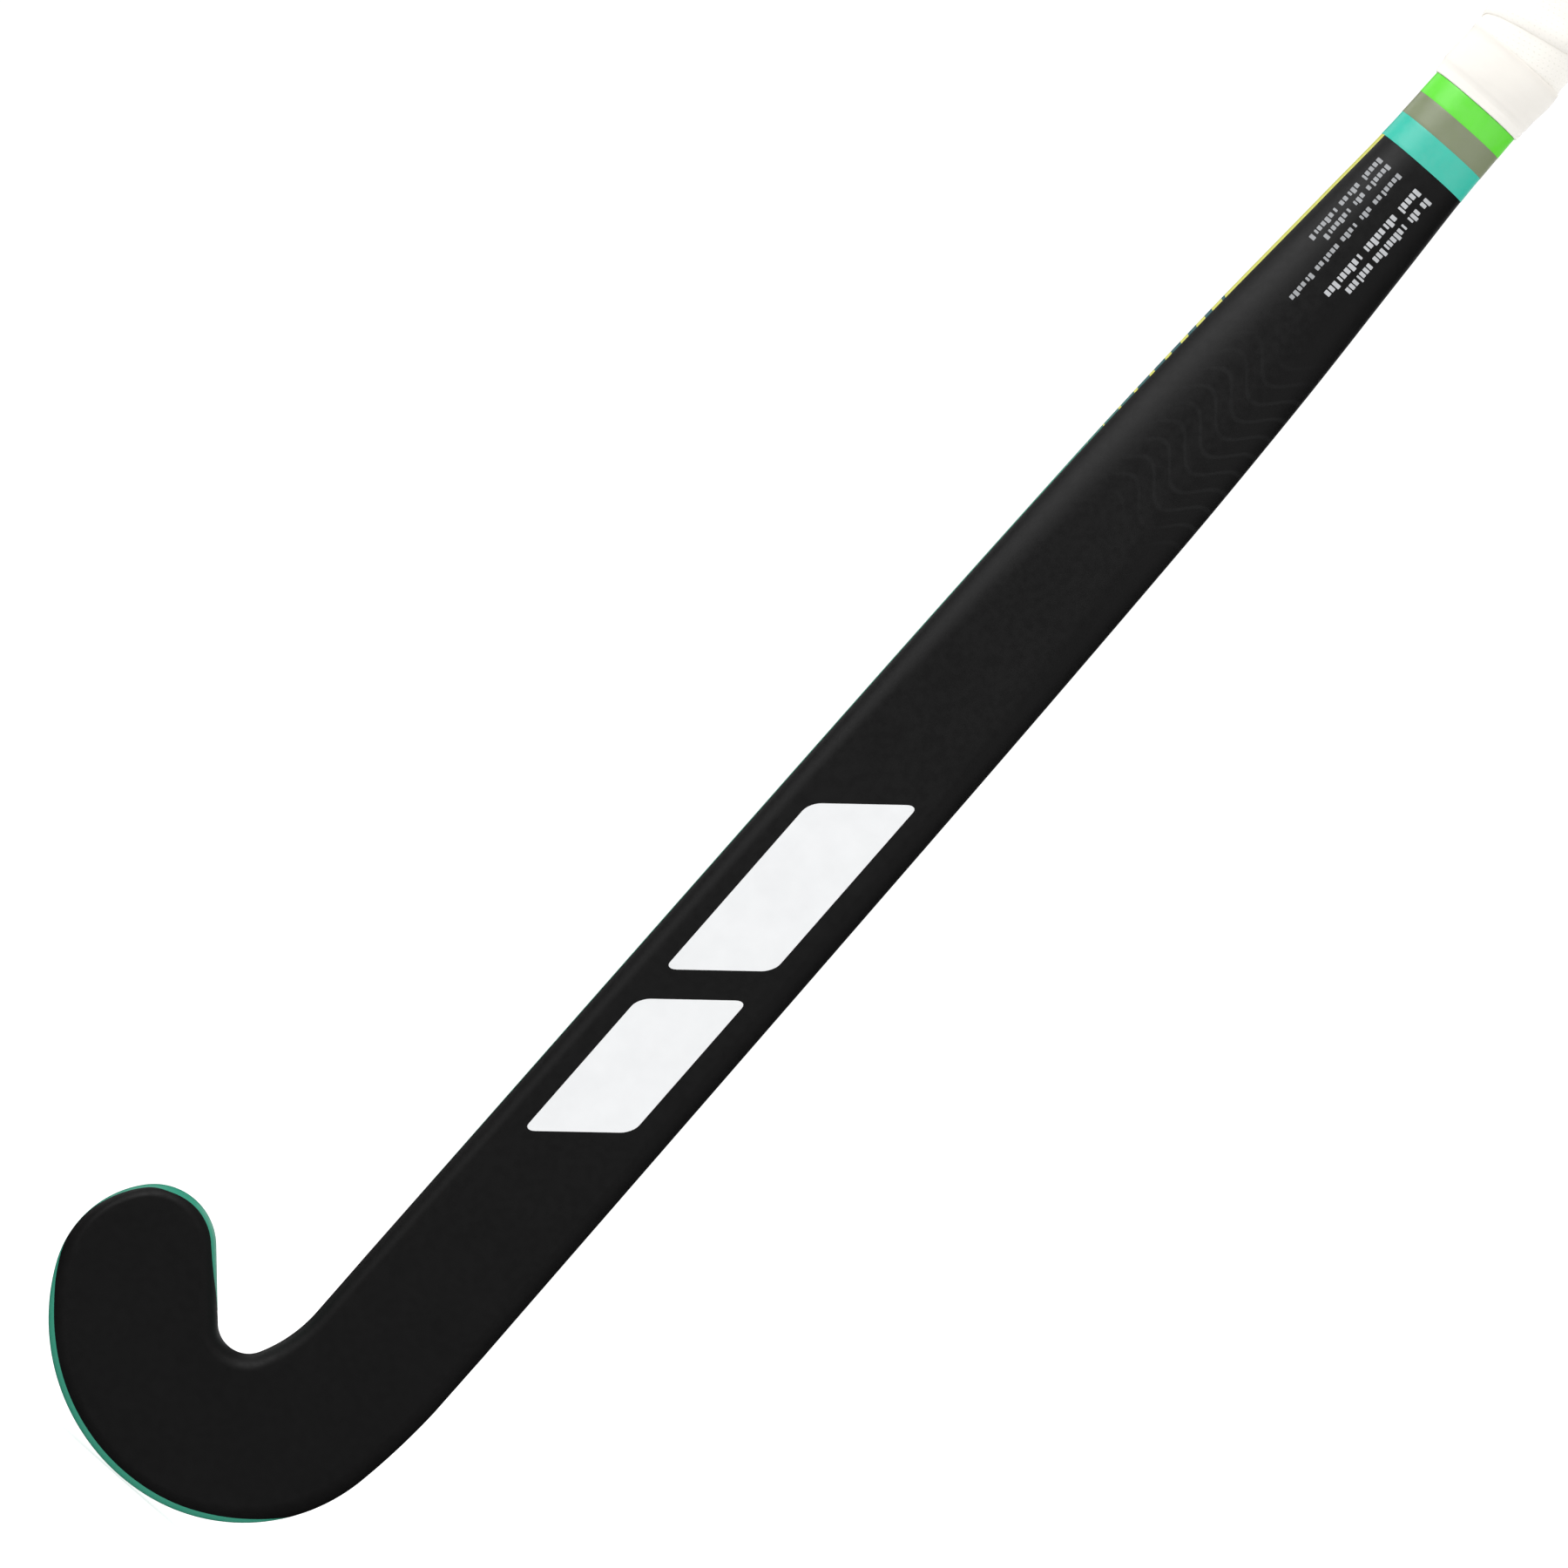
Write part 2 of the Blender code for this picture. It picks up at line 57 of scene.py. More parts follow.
# Edges of the three bands below the grip
TEAL_BOTTOM = 566.6 * MM
KHAKI_BOTTOM = 575.9 * MM
GREEN_BOTTOM = 584.2 * MM
GREEN_TOP = 591.9 * MM

# Bends of the head's edges, as radius and degrees turned
OUTER_BENDS = ((230 * MM, 9.5), (57 * MM, 72), (64 * MM, 73), (33 * MM, 66), (19.3 * MM, 97))
INNER_BENDS = ((45 * MM, 27.5), (9.5 * MM, 110))


def steady_curve(*stations):
    """A function through the (place, value) stations that never overshoots them."""
    places = [place for place, _ in stations]
    values = [value for _, value in stations]
    rises = [
        (values[i + 1] - values[i]) / (places[i + 1] - places[i])
        for i in range(len(stations) - 1)
    ]
    slopes = [rises[0]]
    for before, after in zip(rises, rises[1:]):
        turns = before * after <= 0
        slopes.append(0.0 if turns else 2 * before * after / (before + after))
    slopes.append(rises[-1])

    def value_at(place):
        place = min(max(place, places[0]), places[-1])
        i = 0
        while place > places[i + 1]:
            i += 1
        span = places[i + 1] - places[i]
        t = (place - places[i]) / span
        start = (1 + 2 * t) * (1 - t) ** 2 * values[i] + t * (1 - t) ** 2 * span * slopes[i]
        end = t * t * (3 - 2 * t) * values[i + 1] - t * t * (1 - t) * span * slopes[i + 1]
        return start + end

    return value_at


half_width = steady_curve(
    (100 * MM, 23.9 * MM), (330 * MM, 23.05 * MM), (430 * MM, 22.0 * MM), (485 * MM, 20.4 * MM),
    (540 * MM, 17.55 * MM), (575 * MM, 15.8 * MM), (650 * MM, 14.9 * MM), (915 * MM, 13.6 * MM),
)
depth = steady_curve(
    (100 * MM, 22.0 * MM), (330 * MM, 20.5 * MM), (430 * MM, 20.8 * MM), (590 * MM, 25.0 * MM),
    (915 * MM, 22.5 * MM),
)
rim_share = steady_curve(
    (100 * MM, 0.21), (300 * MM, 0.28), (400 * MM, 0.52), (480 * MM, 0.83), (560 * MM, 0.90),
    (915 * MM, 0.90),
)
rim_depth_share = steady_curve(
    (100 * MM, 0.30), (330 * MM, 0.32), (590 * MM, 0.50), (915 * MM, 0.50),
)


def bow(height):
    """How far the middle line lies behind the chord; a straight line below the top of the head."""
    def curve(share):
        return BOW * 6.75 * share * (1 - share) ** 2

    top = HEAD_TOP / LENGTH
    if height >= HEAD_TOP:
        return curve(height / LENGTH)
    slope = BOW * 6.75 * (1 - top) * (1 - 3 * top)
    return curve(top) + slope * (height / LENGTH - top)


def steps(start, end, count):
    """Evenly spaced values from start to end, both included."""
    return [start + (end - start) * i / count for i in range(count + 1)]


def smooth(low, high, value):
    """0 below low, 1 above high, with an even S between."""
    t = min(max((value - low) / (high - low), 0.0), 1.0)
    return t * t * (3 - 2 * t)


def between(first, second, share=0.5):
    """The point a share of the way from first to second."""
    return tuple(a + (b - a) * share for a, b in zip(first, second))


def in_frame(x, height, behind_face):
    """Sole coordinates to the frame's: the frame's origin is on the handle's axis."""
    y = bow(height) - bow(HOLD_HEIGHT) - depth(height) / 2 + behind_face
    return (x, y, height - HOLD_HEIGHT)


# ---- Outline of the head ----------------------------------------------------------------------

def follow_bends(start, bends):
    """The arcs of an edge that heads straight down at start and then turns towards -X."""
    arcs = []
    x, z = start
    heading = 0.0
    for radius, degrees in bends:
        turn = math.radians(degrees)
        centre = (x - radius * math.cos(heading), z + radius * math.sin(heading))
        arcs.append((centre, radius, heading, radius * turn))
        heading += turn
        x = centre[0] + radius * math.cos(heading)
        z = centre[1] - radius * math.sin(heading)
    return arcs


def point_along(arcs, distance):
    """The point at a distance along an edge's arcs."""
    i = 0
    while i < len(arcs) - 1 and distance > arcs[i][3]:
        distance -= arcs[i][3]
        i += 1
    centre, radius, heading, _ = arcs[i]
    angle = heading + distance / radius
    return (centre[0] + radius * math.cos(angle), centre[1] - radius * math.sin(angle))


def distance_to(arcs, degrees):
    """How far along an edge's arcs it has turned by the given degrees."""
    goal = math.radians(degrees)
    return sum(min(max((goal - arc[2]) * arc[1], 0.0), arc[3]) for arc in arcs)


# The sole is at height zero, which sets where the heel begins.
shoulder = half_width(HEAD_TOP)
drawn = follow_bends((shoulder, 0.0), OUTER_BENDS)
HEEL_HEIGHT = -point_along(drawn, distance_to(drawn, 90))[1]
OUTER_EDGE = follow_bends((shoulder, HEEL_HEIGHT), OUTER_BENDS)
NECK_TURN = INNER_BENDS[0][1]
TOE_TURN = NECK_TURN + INNER_BENDS[1][1]
OUTER_LENGTH = distance_to(OUTER_EDGE, 180 + TOE_TURN)
TOE_TIP = point_along(OUTER_EDGE, OUTER_LENGTH)

# The straight inner side of the toe joins the throat to the tip, which sets the neck's height.
drawn = follow_bends((-shoulder, 0.0), INNER_BENDS)
throat_point = point_along(drawn, distance_to(drawn, TOE_TURN))
toe_angle = math.radians(TOE_TURN)
TOE_STRAIGHT = (throat_point[0] - TOE_TIP[0]) / math.sin(toe_angle)
NECK_HEIGHT = TOE_TIP[1] + TOE_STRAIGHT * math.cos(toe_angle) - throat_point[1]
INNER_EDGE = follow_bends((-shoulder, NECK_HEIGHT), INNER_BENDS)


# ---- The paint line between the black face and the teal back ----------------------------------
# Each curve gives, in mm, how wide a strip of the back's colour shows beside the black face. A
# negative width means that the black wraps round behind the widest line by that much.

outer_rim_strip = steady_curve(  # by degrees turned along the outer edge
    (0, -1.2), (30, -0.5), (40, 0.7), (50, 1.5), (62, 2.0), (90, 2.2), (130, 2.1), (142, 1.8),
    (153, 0.9), (172, 0.1), (188, 0.2), (205, 0.6), (230, 1.0), (250, 1.6), (290, 1.4),
    (317.5, 1.4),
)
inner_rim_strip = steady_curve(  # by share of the way from the neck to the tip of the toe
    (0.0, 0.0), (0.3, -0.6), (0.55, -0.6), (0.68, 0.02), (0.76, 0.25), (0.84, 0.75), (0.92, 1.15),
    (1.0, 1.4),
)
shaft_toe_side_strip = steady_curve(  # by height
    (80 * MM, -0.1), (180 * MM, 0.15), (400 * MM, 0.25), (460 * MM, 0.6), (520 * MM, 0.9),
    (600 * MM, 0.9),
)
SHAFT_HEEL_SIDE_STRIP = -1.2
WRAPPED_PER_TURN = 12      # mm of black for one turn, just behind the widest line


def make_spokes():
    """Spokes (centre, edge, strip) from the butt down the heel side, round the toe and back up."""
    ribs = []
    heights = steps(TUBE_TOP, SHOULDER_TOP, 40)
    heights += steps(SHOULDER_TOP, SHOULDER_BOTTOM, 80)[1:]
    heights += steps(SHOULDER_BOTTOM, HEAD_TOP, 60)[1:]
    for z in heights:
        reach = half_width(z)
        ribs.append(((-reach, z), (reach, z), shaft_toe_side_strip(z), SHAFT_HEEL_SIDE_STRIP))
    # The neck faces the heel, and the throat faces the sole.
    heel_radius = OUTER_BENDS[0][0]
    heel_start = heel_radius * math.asin((HEEL_HEIGHT - NECK_HEIGHT) / heel_radius)
    heel_end = distance_to(OUTER_EDGE, NECK_TURN)
    sole_end = distance_to(OUTER_EDGE, TOE_TURN)
    neck_end = distance_to(INNER_EDGE, NECK_TURN)
    throat_end = distance_to(INNER_EDGE, TOE_TURN)
    inner_length = throat_end + TOE_STRAIGHT

    def turned(distance):
        """Degrees turned after a distance along the outer edge."""
        for _, radius, heading, length in OUTER_EDGE:
            if distance <= length:
                return math.degrees(heading + distance / radius)
            distance -= length
        return 180 + TOE_TURN

    def add_rib(inner_point, inner_distance, outer_distance):
        inner_strip = inner_rim_strip(inner_distance / inner_length)
        outer_strip = outer_rim_strip(turned(outer_distance))
        outer_point = point_along(OUTER_EDGE, outer_distance)
        ribs.append((inner_point, outer_point, inner_strip, outer_strip))

    for inner_span, outer_span, count in (
        ((0.0, neck_end), (heel_start, heel_end), 20),
        ((neck_end, throat_end), (heel_end, sole_end), 48),
    ):
        first = 0 if inner_span[0] == 0.0 else 1
        pairs = list(zip(steps(*inner_span, count), steps(*outer_span, count)))
        for inner, outer in pairs[first:]:
            add_rib(point_along(INNER_EDGE, inner), inner, outer)
    # The straight inner side of the toe faces the toe's back.
    straight_start = point_along(INNER_EDGE, throat_end)
    for share in steps(0, 1, 12)[1:]:
        inner_point = between(straight_start, TOE_TIP, share)
        run = share * TOE_STRAIGHT
        add_rib(inner_point, throat_end + run, sole_end + run)

    # Each rib gives a spoke to either edge. The rest of the toe fans out from the last rib.
    spokes = [(between(inner, outer), outer, strip) for inner, outer, _, strip in ribs]
    pole = between(ribs[-1][0], ribs[-1][1])
    for distance in steps(sole_end + TOE_STRAIGHT, OUTER_LENGTH, 56)[1:-1]:
        strip = outer_rim_strip(turned(distance))
        spokes.append((pole, point_along(OUTER_EDGE, distance), strip))
    spokes += [(between(inner, outer), inner, strip) for inner, outer, strip, _ in reversed(ribs)]
    return spokes


# ---- Cross-section ----------------------------------------------------------------------------

def section_point(reach, height, turn, inset=0.0):
    """(out from the middle line, depth behind the face) at a turn round half the section.

    The turn runs from 0 in the middle of the face to 1 at the edge of its flat, 2 at the widest
    line and 3 in the middle of the back.
    """
    rim = rim_share(height) * reach
    drop = rim_depth_share(height) * depth(height)
    if turn <= 1:
        return (turn * (reach - rim), inset)
    if turn <= 2:
        angle = (turn - 1) * math.pi / 2
        out = reach - rim + (rim - inset) * math.sin(angle)
        return (out, inset + (drop - inset) * (1 - math.cos(angle)))
    angle = (turn - 2) * math.pi / 2
    out = 0.0 if turn >= 3 else (reach - inset) * math.cos(angle) ** (2 / BACK_POWER)
    rise = depth(height) - inset - drop
    return (out, drop + rise * math.sin(angle) ** (2 / BACK_POWER))


def paint_turn(reach, height, strip):
    """The turn at which the black ends, for a strip width in mm."""
    if strip >= 0:
        rim = rim_share(height) * reach
        return 1 + math.asin(1 - strip * MM / rim) / (math.pi / 2)
    return 2 - strip / WRAPPED_PER_TURN


# ---- Mesh helpers -----------------------------------------------------------------------------

def finish_mesh(name, bm, sharp_degrees=40):
    """Merge, point the faces outwards, shade smooth and return the new object."""
    bmesh.ops.remove_doubles(bm, verts=bm.verts, dist=SAME_PLACE)
    bmesh.ops.recalc_face_normals(bm, faces=bm.faces)
    mesh = bpy.data.meshes.new(name)
    bm.to_mesh(mesh)
    bm.free()
    mesh.shade_smooth()
    mesh.set_sharp_from_angle(angle=math.radians(sharp_degrees))
    piece = bpy.data.objects.new(name, mesh)
    bpy.context.scene.collection.objects.link(piece)
    return piece


def add_face(bm, corners):
    """A face from corners, where corners that share a place count once."""
    kept = []
    for vert in corners:
        if not kept or (vert.co - kept[-1].co).length > SAME_PLACE:
            kept.append(vert)
    if len(kept) > 2 and (kept[0].co - kept[-1].co).length <= SAME_PLACE:
        kept.pop()
    if len(kept) > 2:
        bm.faces.new(kept)


def grid_faces(bm, rows, across=False, along=False):
    """Quads between rows of verts; across closes each row, along joins the last row to the first."""
    pairs = list(zip(rows, rows[1:]))
    if along:
        pairs.append((rows[-1], rows[0]))
    for row, after in pairs:
        for i in range(len(row) if across else len(row) - 1):
            j = (i + 1) % len(row)
            add_face(bm, (row[i], row[j], after[j], after[i]))


def dress(piece, material, slot, *nodes):
    """Give a piece its material and its body, and hide the CAD nodes it stands for; the slot is not
    used.
    """
    piece.data.materials.append(material)
    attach(piece, "root")
    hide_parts(*nodes)


# ---- Material helpers -------------------------------------------------------------------------

def add_node(tree, kind, inputs=(), **settings):
    """A new shader node in a tree, with its settings, constants and links."""
    node = tree.nodes.new(kind)
    for key, value in settings.items():
        setattr(node, key, value)
    for key, value in dict(inputs).items():
        if isinstance(value, bpy.types.NodeSocket):
            tree.links.new(value, node.inputs[key])
        else:
            node.inputs[key].default_value = value
    return node


class Paint:
    """A material under construction: short ways to add shader nodes to it."""

    def __init__(self, name, roughness=0.5, **sockets):
        self.material = bpy.data.materials.new(name)
        self.material.use_nodes = True
        self.tree = self.material.node_tree
        self.shader = self.tree.nodes["Principled BSDF"]
        self.set("Roughness", roughness)
        for socket, value in sockets.items():
            self.set(socket.replace("_", " "), value)

    def set(self, socket, value):
        """Set a socket of the shader to a constant, or link it to another socket."""
        target = self.shader.inputs[socket]
        if isinstance(value, bpy.types.NodeSocket):
            self.tree.links.new(value, target)
        else:
            target.default_value = value

    def node(self, kind, inputs=(), **settings):
        """A new shader node of this material."""
        return add_node(self.tree, kind, inputs, **settings)

    def place(self):
        """The place in the row frame, in metres."""
        return self.node("ShaderNodeTexCoord").outputs["Object"]

    def parts(self, vector):
        """The x, y and z of a vector."""
        split = self.node("ShaderNodeSeparateXYZ", {0: vector})
        return split.outputs[0], split.outputs[1], split.outputs[2]

    def calc(self, operation, a, b=0.0):
        """The result of a maths operation on one or two values."""
        return self.node("ShaderNodeMath", {0: a, 1: b}, operation=operation).outputs[0]

    def ramp(self, value, low, high, start=0.0, end=1.0, shape="LINEAR"):
        """From start to end as value goes from low to high, in a straight line by default."""
        inputs = {"Value": value, "From Min": low, "From Max": high, "To Min": start, "To Max": end}
        return self.node("ShaderNodeMapRange", inputs, interpolation_type=shape).outputs[0]

    def fade(self, value, low, high, start=0.0, end=1.0):
        """A smooth step from start to end as value goes from low to high."""
        return self.ramp(value, low, high, start, end, "SMOOTHSTEP")

    def noise(self, scale, detail, roughness=0.5, vector=None):
        """Cloudy noise round one half, at a number of clouds per metre."""
        inputs = {"Scale": scale, "Detail": detail, "Roughness": roughness,
                  "Vector": vector or self.place()}
        return self.node("ShaderNodeTexNoise", inputs).outputs["Fac"]

    def mix(self, share, first, second):
        """A colour share of the way from first to second."""
        node = self.node("ShaderNodeMix", {0: share}, data_type="RGBA")
        for socket, colour in ((6, first), (7, second)):
            if isinstance(colour, bpy.types.NodeSocket):
                self.tree.links.new(colour, node.inputs[socket])
            else:
                node.inputs[socket].default_value = (*colour, 1.0)
        return node.outputs[2]

    def mottled(self, scale, detail, first, second):
        """A colour that wanders between two tones."""
        return self.mix(self.noise(scale, detail), first, second)

    def uneven(self, scale, detail, low, high):
        """A roughness that wanders between two values."""
        return self.fade(self.noise(scale, detail), 0.3, 0.7, low, high)

    def bump(self, height, distance, strength, normal=None):
        """A normal bent by a height, whose full range is the distance."""
        inputs = {"Height": height, "Distance": distance, "Strength": strength}
        if normal is not None:
            inputs["Normal"] = normal
        return self.node("ShaderNodeBump", inputs).outputs[0]


# ---- Materials --------------------------------------------------------------------------------

LINE_PITCH = 7.2 * MM        # from one faint wavy line of the upper shaft to the next
WAVE_LENGTH = 24 * MM
WAVE_SWING = 4.6 * MM
WAVE_SHIFT = 4 * MM          # puts the crests in their places across the shaft
WAVES_FADE_IN = (418 * MM, 440 * MM)
WAVES_FADE_OUT = (480 * MM, 505 * MM)


def black_lacquer():
    """Satin black, more matt towards the head, with faint glossier wavy lines on the upper shaft,
    whose lighter colour is painted sheen.
    """
    paint = Paint("black_lacquer", 0.5)
    x, _, z = paint.parts(paint.place())
    height = paint.calc("ADD", z, HOLD_HEIGHT)
    angle = paint.calc("MULTIPLY", paint.calc("ADD", x, WAVE_SHIFT), 2 * math.pi / WAVE_LENGTH)
    wave = paint.calc("MULTIPLY", paint.calc("COSINE", angle), WAVE_SWING)
    line = paint.calc("PINGPONG", paint.calc("SUBTRACT", height, wave), LINE_PITCH / 2)
    drawn_line = paint.fade(line, 0.3 * MM, 1.1 * MM, 1.0, 0.0)
    inside = paint.calc("MULTIPLY", paint.fade(height, *WAVES_FADE_IN),
                        paint.fade(height, *WAVES_FADE_OUT, 1.0, 0.0))
    # The wavy lines fade out towards the toe side, where the highlight lies.
    side = paint.fade(x, -14 * MM, -4 * MM)
    gloss_lines_and_painted_sheen = paint.calc("MULTIPLY", paint.calc("MULTIPLY", drawn_line, inside), side)
    base = paint.mottled(45, 3, (0.0044, 0.0043, 0.0044), (0.0058, 0.0056, 0.0057))
    paint.set("Specular IOR Level", paint.ramp(height, 60 * MM, 460 * MM, 0.36, 0.95))
    # The lines' lighter colour is painted sheen; their lower roughness below is the real gloss.
    paint.set("Base Color", paint.mix(gloss_lines_and_painted_sheen, base, (0.0083, 0.0083, 0.0085)))
    fine = paint.uneven(420, 4, 0.48, 0.58)
    paint.set("Roughness", paint.calc("SUBTRACT", fine, paint.calc("MULTIPLY", gloss_lines_and_painted_sheen, 0.04)))
    paint.set("Normal", paint.bump(paint.noise(900, 2), 0.02 * MM, 0.35))
    return paint.material


DEEP_TEAL = (0.012, 0.095, 0.100)
STRIPE_PITCH = 7.4 * MM
STRIPE_CENTRE = 478.9 * MM   # where the middle of one stripe meets the edge of the face
STRIPE_SLANT = 0.55          # how far a stripe falls for each step in from the edge
STRIPE_EDGE = 20.2 * MM      # half width of the shaft where the stripes run
STRIPES_BOTTOM = 428 * MM
STRIPES_TOP = 497.4 * MM     # all yellow above this height


def back_lacquer():
    """Satin teal that passes through graded slanted stripes into yellow below the bands."""
    paint = Paint("back_lacquer", 0.36, Specular_IOR_Level=0.45)
    x, _, z = paint.parts(paint.place())
    height = paint.calc("ADD", z, HOLD_HEIGHT)
    inwards = paint.calc("SUBTRACT", STRIPE_EDGE, paint.calc("ABSOLUTE", x))
    level = paint.calc("ADD", height, paint.calc("MULTIPLY", inwards, STRIPE_SLANT))
    half_pitch = STRIPE_PITCH / 2
    apart = paint.calc("PINGPONG", paint.calc("SUBTRACT", level, STRIPE_CENTRE), half_pitch)
    phase = paint.calc("DIVIDE", apart, half_pitch)
    share = paint.ramp(level, STRIPES_BOTTOM, STRIPES_TOP, -0.06, 0.64)
    solid = paint.calc("GREATER_THAN", level, STRIPES_TOP)
    yellow = paint.fade(paint.calc("SUBTRACT", paint.calc("ADD", share, solid), phase), -0.03, 0.03)
    cloud = paint.noise(30, 4)
    teal = paint.mix(cloud, (0.027, 0.240, 0.160), (0.034, 0.290, 0.190))
    deep = paint.mix(paint.fade(height, 410 * MM, 470 * MM), teal, DEEP_TEAL)
    warm = paint.mix(cloud, (0.540, 0.545, 0.095), (0.590, 0.595, 0.110))
    paint.set("Base Color", paint.mix(yellow, deep, warm))
    paint.set("Roughness", paint.uneven(420, 4, 0.30, 0.42))
    paint.set("Normal", paint.bump(paint.noise(900, 2), 0.02 * MM, 0.35))
    return paint.material


def vinyl(name, colour, roughness=0.42):
    """A printed film: even colour with slight mottling and a faintly rippled surface."""
    paint = Paint(name, roughness, Specular_IOR_Level=0.8, IOR=1.8)
    darker = tuple(channel * 0.9 for channel in colour)
    paint.set("Base Color", paint.mottled(120, 3, darker, colour))
    paint.set("Roughness", paint.uneven(500, 3, roughness - 0.05, roughness + 0.06))
    paint.set("Normal", paint.bump(paint.noise(260, 3), 0.03 * MM, 0.4))
    return paint.material


def print_ink():
    """Grey-white ink, thinner on the fine lines of the toe side."""
    paint = Paint("label_print", 0.5, Specular_IOR_Level=0.4)
    x, _, _ = paint.parts(paint.place())
    thin = paint.mottled(400, 3, (0.260, 0.268, 0.280), (0.350, 0.360, 0.372))
    solid = paint.mottled(400, 3, (0.390, 0.400, 0.415), (0.500, 0.510, 0.525))
    paint.set("Base Color", paint.mix(paint.fade(x, -1 * MM, 2 * MM), thin, solid))
    paint.set("Normal", paint.bump(paint.noise(700, 3), 0.02 * MM, 0.4))
    return paint.material


DIMPLE_PITCH = 1.6           # in mm, as the tape's own places are


def grip_material():
    """Tacky white polyurethane: fine leathery grain and rows of small pressed dimples, with painted
    shade in the dimples.
    """
    paint = Paint("grip_polyurethane", 0.62, Specular_IOR_Level=0.1,
                  Subsurface_Weight=0.25, Subsurface_Scale=4 * MM,
                  Subsurface_Radius=(1.0, 0.95, 0.9), Sheen_Weight=0.15, Sheen_Roughness=0.5)
    along = paint.node("ShaderNodeAttribute", attribute_name="tape_place").outputs["Vector"]
    u, v, _ = paint.parts(along)
    half = DIMPLE_PITCH / 2
    row = paint.calc("FLOOR", paint.calc("DIVIDE", v, DIMPLE_PITCH))
    shifted = paint.calc("ADD", u, paint.calc("MULTIPLY", paint.calc("MODULO", row, 2.0), half))
    du = paint.calc("SUBTRACT", paint.calc("PINGPONG", shifted, half), half)
    dv = paint.calc("SUBTRACT", paint.calc("PINGPONG", v, half), half)
    away = paint.calc("SQRT", paint.calc("ADD", paint.calc("MULTIPLY", du, du),
                                         paint.calc("MULTIPLY", dv, dv)))
    dimple = paint.fade(away, 0.14, 0.34, 1.0, 0.0)
    base = paint.mottled(60, 4, (0.875, 0.840, 0.775), (0.925, 0.890, 0.825))
    # The dimples are painted darker, towards a grey tone: painted shade in the hollows.
    shade = paint.calc("MULTIPLY", dimple, 0.12)
    paint.set("Base Color", paint.mix(shade, base, (0.600, 0.570, 0.530)))
    grain = paint.bump(paint.noise(1500, 4, 0.6), 0.05 * MM, 0.5)
    paint.set("Normal", paint.bump(dimple, -0.08 * MM, 0.8, normal=grain))
    return paint.material


def tape_material():
    """Matt white stretch tape with faint lines along its pull."""
    paint = Paint("white_tape", 0.5, Specular_IOR_Level=0.1,
                  Subsurface_Weight=0.25, Subsurface_Scale=4 * MM,
                  Subsurface_Radius=(1.0, 0.95, 0.9), Sheen_Weight=0.15)
    stretched = paint.node("ShaderNodeMapping", {"Vector": paint.place(), "Scale": (60, 60, 500)})
    lines = paint.noise(1.0, 3, vector=stretched.outputs[0])
    paint.set("Base Color", paint.mix(lines, (0.905, 0.866, 0.797), (0.935, 0.896, 0.830)))
    paint.set("Roughness", paint.fade(lines, 0.3, 0.7, 0.42, 0.55))
    paint.set("Normal", paint.bump(lines, 0.03 * MM, 0.3))
    return paint.material


def cap_material():
    """Moulded white rubber, a little softer in tone than the grip."""
    paint = Paint("cap_rubber", 0.65, Specular_IOR_Level=0.35)
    tones = ((0.720, 0.700, 0.650), (0.790, 0.770, 0.725))
    paint.set("Base Color", paint.mottled(80, 3, *tones))
    paint.set("Roughness", paint.uneven(300, 3, 0.58, 0.72))
    paint.set("Normal", paint.bump(paint.noise(1400, 4, 0.6), 0.04 * MM, 0.5))
    return paint.material


def weave_material(name, dark, light, pitch, roughness):
    """Woven cloth set in resin: two sets of strands that pass over and under each other."""
    paint = Paint(name, roughness, Specular_IOR_Level=0.5)
    x, _, z = paint.parts(paint.place())
    # Both places are shifted so that they stay above zero all over the stick.
    across = paint.calc("PINGPONG", paint.calc("ADD", x, 0.2), pitch)
    along = paint.calc("PINGPONG", paint.calc("ADD", z, 2.0), pitch)
    side = paint.calc("GREATER_THAN", across, pitch / 2)
    other = paint.calc("GREATER_THAN", along, pitch / 2)
    checker = paint.calc("ABSOLUTE", paint.calc("SUBTRACT", side, other))
    strand = paint.noise(900, 3)
    tone = paint.calc("ADD", paint.calc("MULTIPLY", checker, 0.6),
                      paint.calc("MULTIPLY", strand, 0.4))
    paint.set("Base Color", paint.mix(tone, dark, light))
    paint.set("Roughness", paint.fade(checker, 0.0, 1.0, roughness - 0.08, roughness + 0.08))
    paint.set("Normal", paint.bump(tone, 0.08 * MM, 0.6))
    return paint.material


def foam_material(name, light, dark, cell=700):
    """Foam: matt, and pitted with fine cells, whose pits are painted darker as painted shade."""
    paint = Paint(name, 0.9, Specular_IOR_Level=0.25)
    cells = paint.node("ShaderNodeTexVoronoi", {"Vector": paint.place(), "Scale": cell})
    pit_depth_and_shade = paint.fade(cells.outputs["Distance"], 0.1, 0.6)
    # The pits take the dark tone: painted shade in the hollows. The same mask sinks them in the
    # bump.
    paint.set("Base Color", paint.mix(pit_depth_and_shade, dark, light))
    paint.set("Normal", paint.bump(pit_depth_and_shade, 0.15 * MM, 0.8))
    return paint.material


def gel_material():
    """Clear blue damping gel."""
    paint = Paint("damping_gel", 0.18, Subsurface_Weight=0.6, Subsurface_Scale=4 * MM)
    paint.set("Base Color", paint.mottled(90, 3, (0.06, 0.26, 0.46), (0.12, 0.42, 0.62)))
    paint.set("Normal", paint.bump(paint.noise(60, 2), 0.2 * MM, 0.3))
    return paint.material


def moulded_material(name, low, high, roughness):
    """Moulded plastic between two tones, with a fine grain."""
    paint = Paint(name, roughness)
    paint.set("Base Color", paint.mottled(150, 3, low, high))
    paint.set("Roughness", paint.uneven(400, 3, roughness - 0.08, roughness + 0.08))
    paint.set("Normal", paint.bump(paint.noise(900, 3), 0.04 * MM, 0.4))
    return paint.material


# ---- The two lacquered skins ------------------------------------------------------------------

